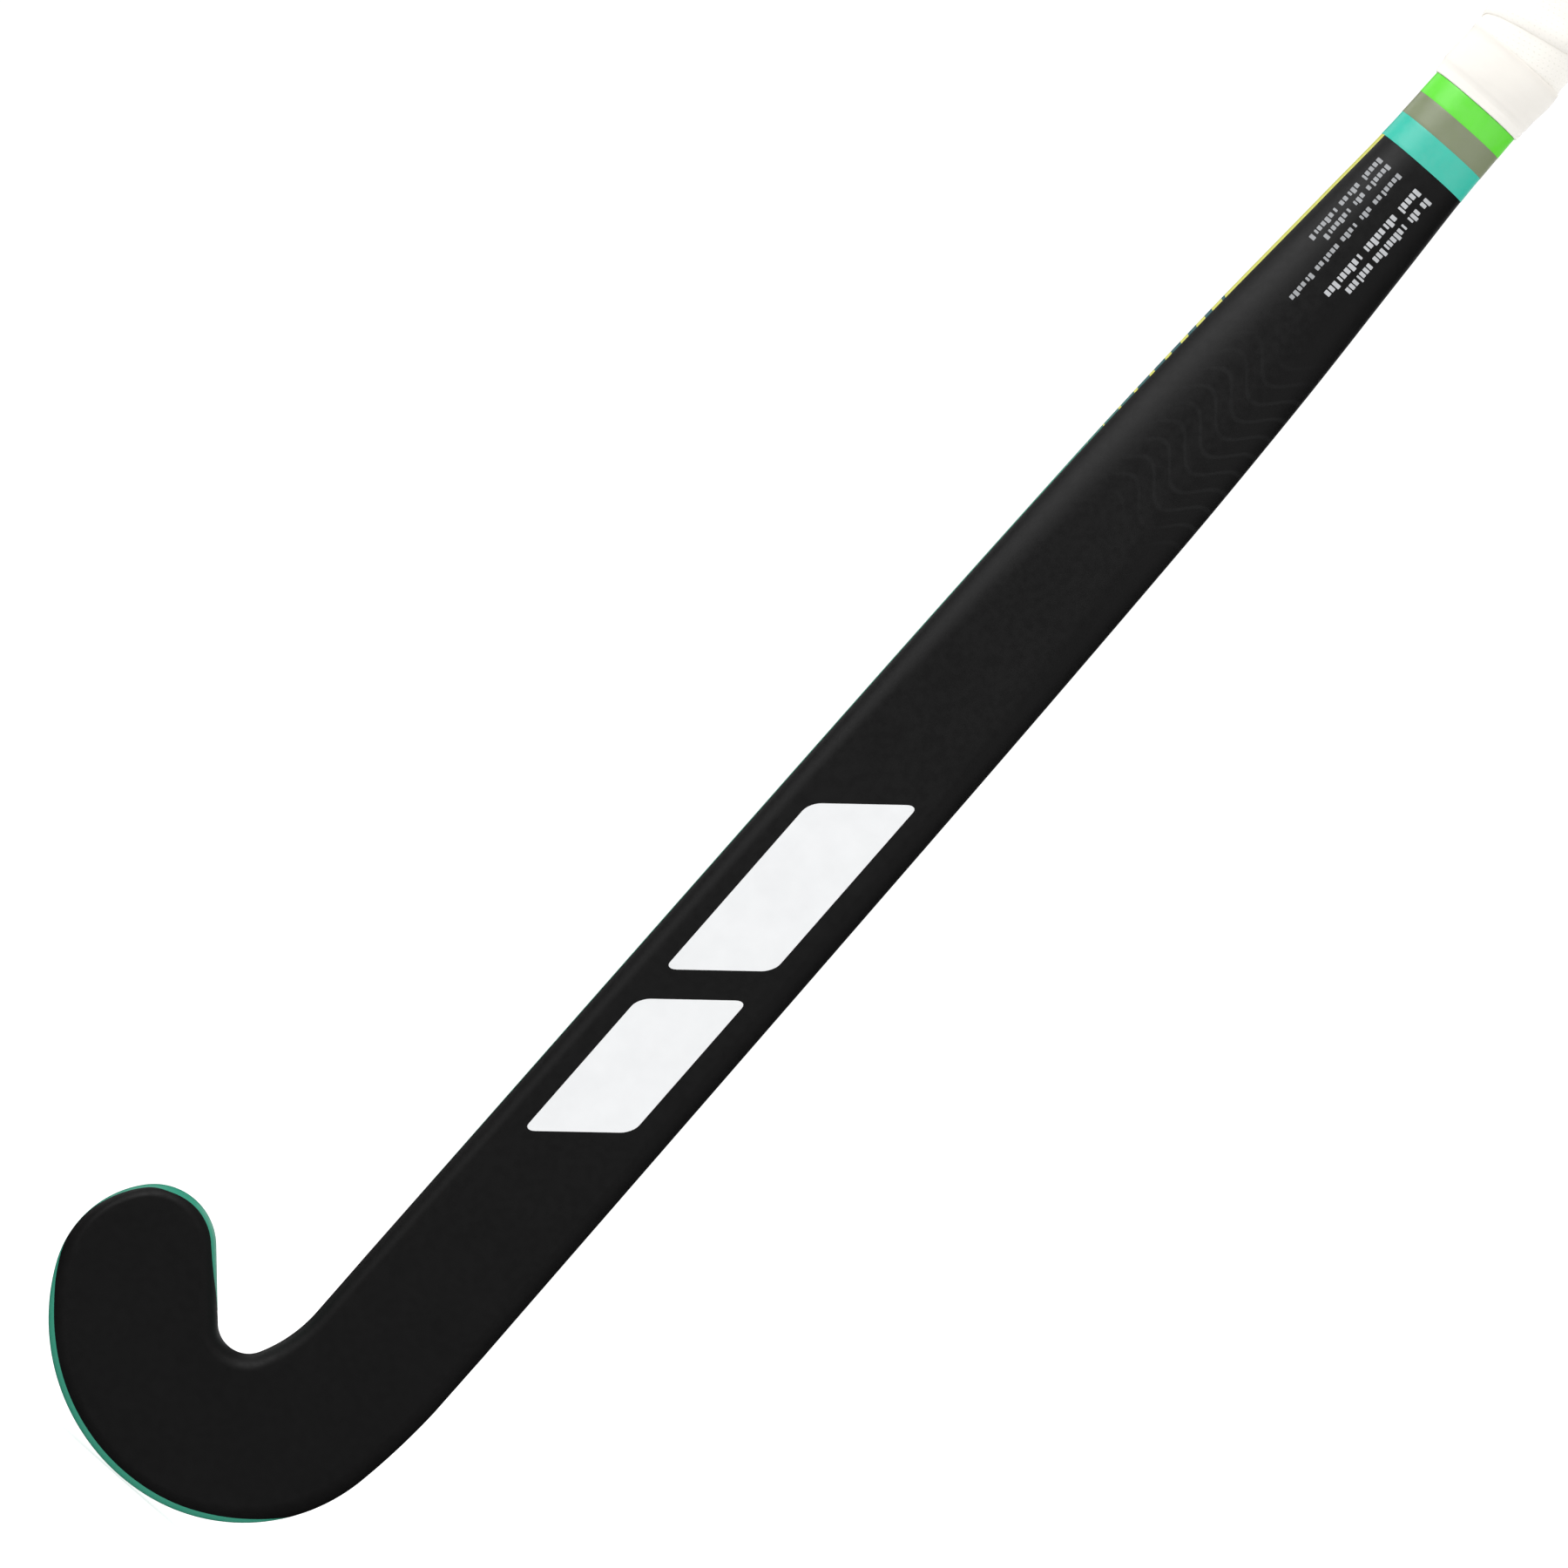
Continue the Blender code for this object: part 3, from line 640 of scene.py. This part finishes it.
def skin(name, spokes, turns_of, material, slot, node):
    """One moulded skin from the middle line to the paint line, with its wall behind it."""
    bm = bmesh.new()
    rows = []
    for centre, edge, strip in spokes:
        reach = math.hypot(edge[0] - centre[0], edge[1] - centre[1])
        row = []
        for turn, inset in turns_of(paint_turn(reach, centre[1], strip)):
            out, behind = section_point(reach, centre[1], turn, inset)
            x, z = between(centre, edge, out / reach)
            row.append(bm.verts.new(in_frame(x, z, behind)))
        rows.append(row)
    grid_faces(bm, rows)
    add_face(bm, rows[0] + rows[-1][::-1])
    dress(finish_mesh(name, bm), material, slot, node)


def face_turns(limit):
    """Outside from the middle of the face to the limit, then back along the inside."""
    outside = steps(0, 1, 8) + steps(1, limit, 18)[1:]
    inside = steps(1, limit, 6)[::-1] + [0]
    return [(turn, 0.0) for turn in outside] + [(turn, WALL) for turn in inside]


def back_turns(limit):
    """Outside from the middle of the back to the limit, then back along the inside."""
    if limit < 2:
        outside = steps(3, 2, 26) + steps(2, limit, 8)[1:]
    else:
        outside = steps(3, limit, 34)
    inside = steps(limit, 3, 10)
    return [(turn, 0.0) for turn in outside] + [(turn, WALL) for turn in inside]


def make_skins():
    """The black face and the teal back, which meet along the paint line."""
    spokes = make_spokes()
    skin("face_skin", spokes, face_turns, black_lacquer(), "black_lacquer", "face_laminate")
    skin("back_skin", spokes, back_turns, back_lacquer(), "teal_lacquer", "back_laminate")


# ---- Films, marks and print on the face -------------------------------------------------------

def face_depth(x, height, lift):
    """Depth behind the face of a film at x that lies lift in front of the surface."""
    reach = half_width(height)
    rim = rim_share(height) * reach
    drop = rim_depth_share(height) * depth(height)
    share = max(abs(x) - (reach - rim), 0.0) / (rim + lift)
    return -lift + (drop + lift) * (1 - math.sqrt(1 - share * share))


def film(bm, left, right, start, end, top, slant=0.0, corner=0.0, columns=12, rows=24):
    """A thin sheet on the face with rounded corners, whose ends slant across it."""
    middle = (left + right) / 2
    half = (right - left) / 2
    corner_steps = [corner * (1 - math.cos(a)) for a in steps(0, math.pi / 2, 6)]
    stations = [start + step for step in corner_steps]
    stations += steps(start + corner, end - corner, rows)[1:]
    stations += [end - step for step in corner_steps[-2::-1]]
    bevel = min(top * 0.6, 0.05 * MM)
    sheet = []
    for station in stations:
        nearest = min(station - start, end - station, corner)
        width = half - corner + math.sqrt(max(corner ** 2 - (corner - nearest) ** 2, 0.0))
        run = [(-width, 0.0), (-width, top - bevel)]
        run += [(x, top) for x in steps(-width + bevel, width - bevel, columns)]
        run += [(width, top - bevel), (width, 0.0)]
        row = []
        for x, lift in run:
            height = station + slant * x
            place = in_frame(middle + x, height, face_depth(middle + x, height, lift))
            row.append(bm.verts.new(place))
        sheet.append(row)
    grid_faces(bm, sheet, across=True)
    add_face(bm, sheet[0])
    add_face(bm, sheet[-1])


MARK_HALF = 13 * MM        # half width of the marks
MARK_SLANT = math.tan(math.radians(40))


def make_marks():
    """Two plain slanted blocks, where the stick carries its decoration."""
    material = vinyl("white_film", (0.840, 0.850, 0.860), 0.38)
    for name, start, end in (
        ("face_mark_lower", 172 * MM, 226 * MM),
        ("face_mark_upper", 238 * MM, 306 * MM),
    ):
        bm = bmesh.new()
        film(bm, -MARK_HALF, MARK_HALF, start, end, 0.09 * MM, slant=MARK_SLANT, corner=3 * MM)
        dress(finish_mesh(name + "_film", bm), material, "white_film", name)


WORD_GAP = 0.8             # between words, in pitches of their letters


def print_line(bm, x, size, start, end, words):
    """Blocks in the place of letters, grouped into words, down the shaft from start to end."""
    letters = sum(words)
    pitch = (start - end) / (letters + WORD_GAP * (len(words) - 1))
    height = start
    for number, word in enumerate(words):
        for letter in range(word):
            # Some blocks are taller or narrower than the rest, in a fixed order.
            tall = (letter * 5 + number * 3) % 4 == 0
            narrow = (letter * 3 + number) % 5 == 2
            run = pitch * (0.45 if narrow else 0.74)
            right = x + size * (0.68 if tall else 0.42)
            film(bm, x - size * 0.42, right, height - run, height, 0.03 * MM,
                 corner=0.2 * MM, columns=2, rows=1)
            height -= pitch
        height -= WORD_GAP * pitch


def make_print():
    """Rows of small blocks: three fine lines on the toe side and two bolder ones."""
    bm = bmesh.new()
    lines = (  # place across, size, start, end and letters in each word
        (8.0 * MM, 2.5 * MM, 560 * MM, 522 * MM, (2, 3, 9, 7)),
        (3.7 * MM, 2.5 * MM, 560 * MM, 517 * MM, (5, 8, 9)),
        (-3.8 * MM, 1.8 * MM, 560 * MM, 509 * MM, (7, 3, 4, 6, 6)),
        (-8.2 * MM, 1.8 * MM, 560 * MM, 530 * MM, (6, 3, 7)),
        (-11.4 * MM, 1.8 * MM, 560 * MM, 527 * MM, (5, 5, 7)),
    )
    for line in lines:
        print_line(bm, *line)
    dress(finish_mesh("info_print", bm), print_ink(), "label_print", "info_label")


# ---- Round the handle -------------------------------------------------------------------------

def even_turns(height, count):
    """Turns that divide half the section's outline at a height into equal lengths."""
    fine = steps(0, 3, 600)
    points = [section_point(half_width(height), height, turn) for turn in fine]
    lengths = [0.0]
    for first, second in zip(points, points[1:]):
        lengths.append(lengths[-1] + math.dist(first, second))
    turns = []
    i = 0
    for goal in steps(0, lengths[-1], count):
        while i < len(fine) - 1 and lengths[i] < goal:
            i += 1
        turns.append(fine[i])
    turns[-1] = 3.0
    return turns, 2 * lengths[-1]


AROUND = 96                # points round the handle
EVEN_HEIGHT = 700 * MM     # where they are evenly spaced
HALF_TURNS, HANDLE_GIRTH = even_turns(EVEN_HEIGHT, AROUND // 2)


def handle_point(height, step, lift):
    """A point lift outside the tube, at a whole step round it from the middle of the face."""
    step %= AROUND
    side = 1 if step <= AROUND // 2 else -1
    turn = HALF_TURNS[step if side == 1 else AROUND - step]
    out, behind = section_point(half_width(height), height, turn, -lift)
    return in_frame(side * out, height, behind)


def ring(bm, height, lifts):
    """Verts round the handle at a height, with a lift for every step."""
    return [bm.verts.new(handle_point(height, i, lift)) for i, lift in enumerate(lifts)]


def sleeve(name, outline):
    """A tube round the handle from a closed outline of (height, lift) points."""
    bm = bmesh.new()
    rows = [ring(bm, height, [lift] * AROUND) for height, lift in outline]
    grid_faces(bm, rows, across=True, along=True)
    return finish_mesh(name, bm, sharp_degrees=60)


def rounded_band(bottom, top, inside, outside, radius, count):
    """Outline of a flat band with softened outer edges."""
    outline = [(top, inside), (bottom, inside)]
    for angle in steps(0, math.pi / 2, 4):
        outline.append((bottom + radius * (1 - math.cos(angle)),
                        outside - radius * (1 - math.sin(angle))))
    outline += [(height, outside) for height in steps(bottom + radius, top - radius, count)[1:-1]]
    for angle in steps(math.pi / 2, 0, 4):
        outline.append((top - radius * (1 - math.cos(angle)),
                        outside - radius * (1 - math.sin(angle))))
    return outline


def make_bands():
    """Three vinyl bands, where the upper edge of each reaches under the next."""
    overlap = 0.3 * MM
    inside = 0.01 * MM
    softening = 0.05 * MM
    bands = (
        ("teal_band", TEAL_BOTTOM, KHAKI_BOTTOM + overlap, 0.10 * MM, (0.012, 0.560, 0.420)),
        ("khaki_band", KHAKI_BOTTOM, GREEN_BOTTOM + overlap, 0.16 * MM, (0.228, 0.268, 0.148)),
        ("green_band", GREEN_BOTTOM, GREEN_TOP, 0.22 * MM, (0.112, 0.820, 0.010)),
    )
    for name, bottom, top, lift, colour in bands:
        outline = rounded_band(bottom, top, inside, lift, softening, 8)
        look = name.replace("_band", "_film")
        dress(sleeve(name + "_sleeve", outline), vinyl(look, colour), look, name)


# ---- Grip -------------------------------------------------------------------------------------

WRAP_PITCH = 20 * MM       # climb of the wrap in one turn
WRAP_WIDTH = 27 * MM
WRAP_THICKNESS = 0.95 * MM
WRAP_EDGE = 0.25 * MM      # thickness left at the skived edges
SKIVE = 4.5 * MM           # width over which an edge thins out
WRAP_BOTTOM = 597 * MM     # the wrap is trimmed level here and at the butt
WRAP_TOP = TUBE_TOP - 0.4 * MM
WRAP_START_STEP = -12      # where round the handle the tape begins
CUSHION_BOTTOM = 606 * MM  # the cushion under the wrap swells up between these two heights
CUSHION_FULL = 626 * MM


def wrap_start(progress):
    """Height of the tape's lower edge after progress turns."""
    return WRAP_BOTTOM + WRAP_PITCH * (progress - 1)


def wrap_thickness(v):
    """Thickness of the tape at v across its width, which thins towards both edges."""
    near = min(v, WRAP_WIDTH - v)
    return WRAP_EDGE + (WRAP_THICKNESS - WRAP_EDGE) * smooth(-0.3 * SKIVE, SKIVE, near)


def wrap_inside(progress, v):
    """Lift of the tape's inner side: the cushion, and the turn below where the tape laps it."""
    cushion = (0.05 + 0.95 * smooth(CUSHION_BOTTOM, CUSHION_FULL, wrap_start(progress) + v)) * MM
    lapped = smooth(0.75, 1.0, progress)
    overlap = WRAP_WIDTH - WRAP_PITCH
    below = wrap_thickness(min(v + WRAP_PITCH, WRAP_WIDTH)) + 0.03 * MM
    return cushion + lapped * below * (1 - smooth(overlap - 1 * MM, overlap + 2 * MM, v))


def wrap_section(progress):
    """(v up the width, lift) points round the tape's section, after progress turns."""
    round_end = WRAP_EDGE / 2
    section = [(v, wrap_inside(progress, v)) for v in steps(round_end, WRAP_WIDTH - round_end, 20)]
    section.append((WRAP_WIDTH, wrap_inside(progress, WRAP_WIDTH) + round_end))
    for v in steps(WRAP_WIDTH - round_end, round_end, 36):
        section.append((v, wrap_inside(progress, v) + wrap_thickness(v)))
    section.append((0.0, wrap_inside(progress, 0.0) + round_end))
    return section


def trim(bm, height, direction):
    """Cut off what lies beyond a level plane, below it (-1) or above it (1), and close the cut."""
    cut = bmesh.ops.bisect_plane(
        bm, geom=bm.verts[:] + bm.edges[:] + bm.faces[:], dist=0.0001 * MM,
        plane_co=(0, 0, height - HOLD_HEIGHT), plane_no=(0, 0, direction), clear_outer=True,
    )
    rim = [item for item in cut["geom_cut"] if isinstance(item, bmesh.types.BMEdge)]
    bmesh.ops.triangle_fill(bm, edges=rim, use_beauty=True)


def make_grip():
    """One long tape wound up the handle, each turn lapped over the one below it."""
    bm = bmesh.new()
    place = bm.verts.layers.float_vector.new("tape_place")
    # It runs on past both trims: one turn below, and a fifth of a turn above.
    turns = (WRAP_TOP - WRAP_BOTTOM) / WRAP_PITCH + 1.2
    rows = []
    for i in range(int(turns * AROUND)):
        progress = i / AROUND
        row = []
        for v, lift in wrap_section(progress):
            height = wrap_start(progress) + v
            vert = bm.verts.new(handle_point(height, WRAP_START_STEP + i, lift))
            vert[place] = (progress * HANDLE_GIRTH / MM, v / MM, 0.0)
            row.append(vert)
        rows.append(row)
    grid_faces(bm, rows, across=True)
    add_face(bm, rows[0])
    add_face(bm, rows[-1])
    trim(bm, WRAP_BOTTOM, -1)
    trim(bm, WRAP_TOP, 1)
    grip = finish_mesh("grip_tape", bm, sharp_degrees=60)
    dress(grip, grip_material(), "grip_polyurethane", "grip_wrap")


# ---- Finishing tape ---------------------------------------------------------------------------

TAPE_BOTTOM = GREEN_TOP + 0.1 * MM
TAPE_TOP = 611 * MM
TAPE_THICKNESS = 0.25 * MM
TAPE_LIP = 0.35 * MM       # extra thickness where the lower edge is folded under
TAPE_REACH = 2.8 * MM      # how far to either side the tape bridges a step


def wrap_lift(height, step):
    """Lift of the wrap's outer side at a place on the handle, or nothing below the wrap."""
    if height < WRAP_BOTTOM:
        return 0.0
    lift = 0.0
    first = ((step - WRAP_START_STEP) % AROUND) / AROUND
    for progress in (first, first + 1, first + 2):
        v = height - wrap_start(progress)
        if 0 <= v <= WRAP_WIDTH:
            lift = max(lift, wrap_inside(progress, v) + wrap_thickness(v))
    return lift


def tape_bridge(height, step):
    """Inside of the stretched tape, which bridges every step that it is pulled over."""
    peaks = []
    for middle in steps(height - TAPE_REACH, height + TAPE_REACH, 10):
        near = steps(middle - TAPE_REACH, middle + TAPE_REACH, 5)
        peaks.append(max(wrap_lift(place, step) for place in near))
    return sum(peaks) / len(peaks) + 0.02 * MM


def tape_thickness(height):
    """Folded under at its lower edge, which makes a lip, and thin at its upper edge."""
    lip = 1 - smooth(TAPE_BOTTOM + 0.5 * MM, TAPE_BOTTOM + 4.5 * MM, height)
    worn = 0.85 * smooth(TAPE_TOP - 4 * MM, TAPE_TOP, height)
    return TAPE_THICKNESS * (1 - worn) + TAPE_LIP * lip


def make_finishing_tape():
    """Stretch tape that closes the lower end of the grip, half on the lacquer, half on the wrap."""
    bm = bmesh.new()
    turns = steps(0, math.pi / 2, 5)
    above = steps(TAPE_BOTTOM + TAPE_LIP, TAPE_TOP, 40)[1:]
    heights = [TAPE_BOTTOM + TAPE_LIP * (1 - math.cos(a)) for a in turns] + above
    shares = [math.sin(a) for a in turns] + [1.0] * len(above)
    bridges = [[tape_bridge(height, i) for i in range(AROUND)] for height in heights]
    outside = []
    inside = []
    for height, share, bridge in zip(heights, shares, bridges):
        thickness = share * tape_thickness(height)
        outside.append(ring(bm, height, [lift + thickness for lift in bridge]))
        inside.append(ring(bm, height, bridge))
    rows = outside + inside[::-1]
    grid_faces(bm, rows, across=True, along=True)
    tape = finish_mesh("finishing_tape_sleeve", bm, sharp_degrees=60)
    dress(tape, tape_material(), "white_tape", "finishing_tape")


# ---- End cap ----------------------------------------------------------------------------------

def make_end_cap():
    """Rubber cap over the butt: skirt under the wrap, round shoulder, recessed ring on top."""
    play = 0.05 * MM           # between the skirt and the tube
    skirt = 0.8 * MM           # lift of the skirt's outside
    flange = 3.3 * MM          # lift of the shoulder
    lower_round = 0.5 * MM
    upper_round = 4 * MM
    under = TUBE_TOP + 0.1 * MM    # underside of the cap's top, just above the tube
    outline = [(under, -8 * MM), (under, play), (TUBE_TOP - CAP_SKIRT, play),
               (TUBE_TOP - CAP_SKIRT, skirt), (TUBE_TOP, skirt), (TUBE_TOP, flange - lower_round)]
    for angle in steps(0, math.pi / 2, 4):
        outline.append((TUBE_TOP + lower_round * (1 - math.cos(angle)),
                        flange - lower_round * (1 - math.sin(angle))))
    # A fine groove runs round the side, and another round the top.
    for rise, cut in ((3.0, 0.0), (3.3, 0.35), (4.0, 0.35), (4.3, 0.0)):
        outline.append((TUBE_TOP + rise * MM, flange - cut * MM))
    for angle in steps(0, math.pi / 2, 8):
        outline.append((LENGTH - upper_round * (1 - math.sin(angle)),
                        flange - upper_round * (1 - math.cos(angle))))
    for lift, cut in ((-3.2, 0.0), (-3.5, 0.35), (-4.6, 0.35), (-4.9, 0.0), (-8.0, 0.0)):
        outline.append((LENGTH - cut * MM, lift * MM))
    bm = bmesh.new()
    rows = [ring(bm, height, [lift] * AROUND) for height, lift in outline]
    grid_faces(bm, rows, across=True)
    add_face(bm, rows[0])
    add_face(bm, rows[-1])
    cap = finish_mesh("end_cap_rubber", bm, sharp_degrees=50)
    dress(cap, cap_material(), "cap_rubber", "end_cap")


# ---- Pieces inside the stick, which keep their CAD shapes -------------------------------------

def dress_inner_nodes():
    """Materials for the hidden pieces."""
    carbon = weave_material("carbon_composite", (0.010, 0.010, 0.011), (0.035, 0.035, 0.037),
                            2.0 * MM, 0.38)
    foam = foam_material("moulded_foam", (0.78, 0.73, 0.61), (0.52, 0.47, 0.38))
    looks = {
        "impact_ply": weave_material("aramid_cloth", (0.42, 0.29, 0.04), (0.68, 0.52, 0.10),
                                     1.6 * MM, 0.55),
        "head_core": foam,
        "handle_foam": foam,
        "centre_web": carbon,
        "toe_side_tube": carbon,
        "heel_side_tube": carbon,
        "gel_damper": gel_material(),
        "end_plug": moulded_material("plug_plastic", (0.05, 0.05, 0.052), (0.07, 0.07, 0.072), 0.5),
        "cushion_underwrap": foam_material("cushion_foam", (0.035, 0.035, 0.035),
                                           (0.012, 0.012, 0.012), 1500),
    }
    for node, material in looks.items():
        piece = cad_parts[node]
        piece.data.materials.clear()
        piece.data.materials.append(material)


# ---- Studio -----------------------------------------------------------------------------------

VIEW_CENTRE = Vector((-22.7 * MM, 0.0, 294.4 * MM - HOLD_HEIGHT))
VIEW_WIDTH = 482.4 * MM    # what the picture takes in at the stick
VIEW_ROLL = math.radians(41.2)
VIEW_DISTANCE = 5.0        # far enough for the bands to look nearly straight
SENSOR = 36                # mm, and so is the lens


def make_camera():
    """Looks straight at the face, rolled so that the shaft rises to the right."""
    data = bpy.data.cameras.new("camera")
    data.sensor_width = SENSOR
    data.lens = SENSOR * VIEW_DISTANCE / VIEW_WIDTH
    camera = bpy.data.objects.new("camera", data)
    camera.location = VIEW_CENTRE - Vector((0, VIEW_DISTANCE, 0))
    camera.rotation_mode = "XYZ"
    camera.rotation_euler = (math.pi / 2, -VIEW_ROLL, 0)
    bpy.context.scene.collection.objects.link(camera)
    bpy.context.scene.camera = camera


def aim(thing, target):
    """Turn a thing so that it looks at the target."""
    direction = Vector(target) - thing.location
    thing.rotation_euler = direction.to_track_quat("-Z", "Y").to_euler()


def make_light(name, place, target, size, power):
    """A rectangular softbox that faces the target."""
    data = bpy.data.lights.new(name, "AREA")
    data.shape = "RECTANGLE"
    data.size, data.size_y = size
    data.energy = power
    lamp = bpy.data.objects.new(name, data)
    lamp.location = place
    aim(lamp, target)
    bpy.context.scene.collection.objects.link(lamp)


def make_lights():
    """A big softbox up on the toe's side, a weak one on the heel's side and two behind."""
    middle = (0, 0, -0.35)
    make_light("key_softbox", (-0.95, -0.72, 0.35), middle, (1.0, 1.0), 8)
    make_light("fill_softbox", (1.1, -0.9, 0.2), middle, (1.1, 1.1), 0.85)
    make_light("heel_softbox", (0.5, 1.5, 0.3), middle, (0.9, 1.4), 3)
    make_light("back_softbox", (-1.3, 1.2, 0.2), middle, (0.9, 1.4), 3)


def make_world():
    """White behind the stick, and soft light all round that is stronger on the heel's side."""
    world = bpy.data.worlds.new("studio")
    bpy.context.scene.world = world
    world.use_nodes = True
    tree = world.node_tree
    white = tree.nodes["Background"]
    white.inputs["Color"].default_value = (1, 1, 1, 1)
    white.inputs["Strength"].default_value = 1.05
    direction = add_node(tree, "ShaderNodeTexCoord").outputs["Generated"]
    across = add_node(tree, "ShaderNodeSeparateXYZ", {0: direction}).outputs["X"]
    limits = {"From Min": -1, "To Min": 1.06, "To Max": 1.20}
    strength = add_node(tree, "ShaderNodeMapRange", {"Value": across, **limits}).outputs[0]
    around = add_node(tree, "ShaderNodeBackground", {"Color": (1, 1, 1, 1), "Strength": strength})
    seen = add_node(tree, "ShaderNodeLightPath").outputs["Is Camera Ray"]
    shown = {0: seen, 1: around.outputs[0], 2: white.outputs[0]}
    mix = add_node(tree, "ShaderNodeMixShader", shown)
    tree.links.new(mix.outputs[0], tree.nodes["World Output"].inputs["Surface"])
    # Gloss shows only the softboxes, as in a dark studio.
    world.cycles_visibility.glossy = False
    bpy.context.scene.view_settings.view_transform = "Standard"


def make_floor():
    """A pale sheet below the stick for views from higher up, which throws no light on it."""
    bm = bmesh.new()
    bmesh.ops.create_circle(bm, cap_ends=True, segments=96, radius=2.5)
    floor = finish_mesh("floor", bm)
    floor.location = (0, 0, -HOLD_HEIGHT - 0.5 * MM)
    floor.visible_diffuse = False
    floor.visible_glossy = False
    paint = Paint("floor_paper", 0.9, Specular_IOR_Level=0.0,
                  Emission_Color=(1, 1, 1, 1), Emission_Strength=0.75)
    paint.set("Base Color", paint.mottled(3, 2, (0.38, 0.38, 0.38), (0.42, 0.42, 0.42)))
    floor.data.materials.append(paint.material)


make_camera()
make_skins()
make_marks()
make_print()
make_bands()
make_grip()
make_finishing_tape()
make_end_cap()
dress_inner_nodes()
make_floor()
make_lights()
make_world()
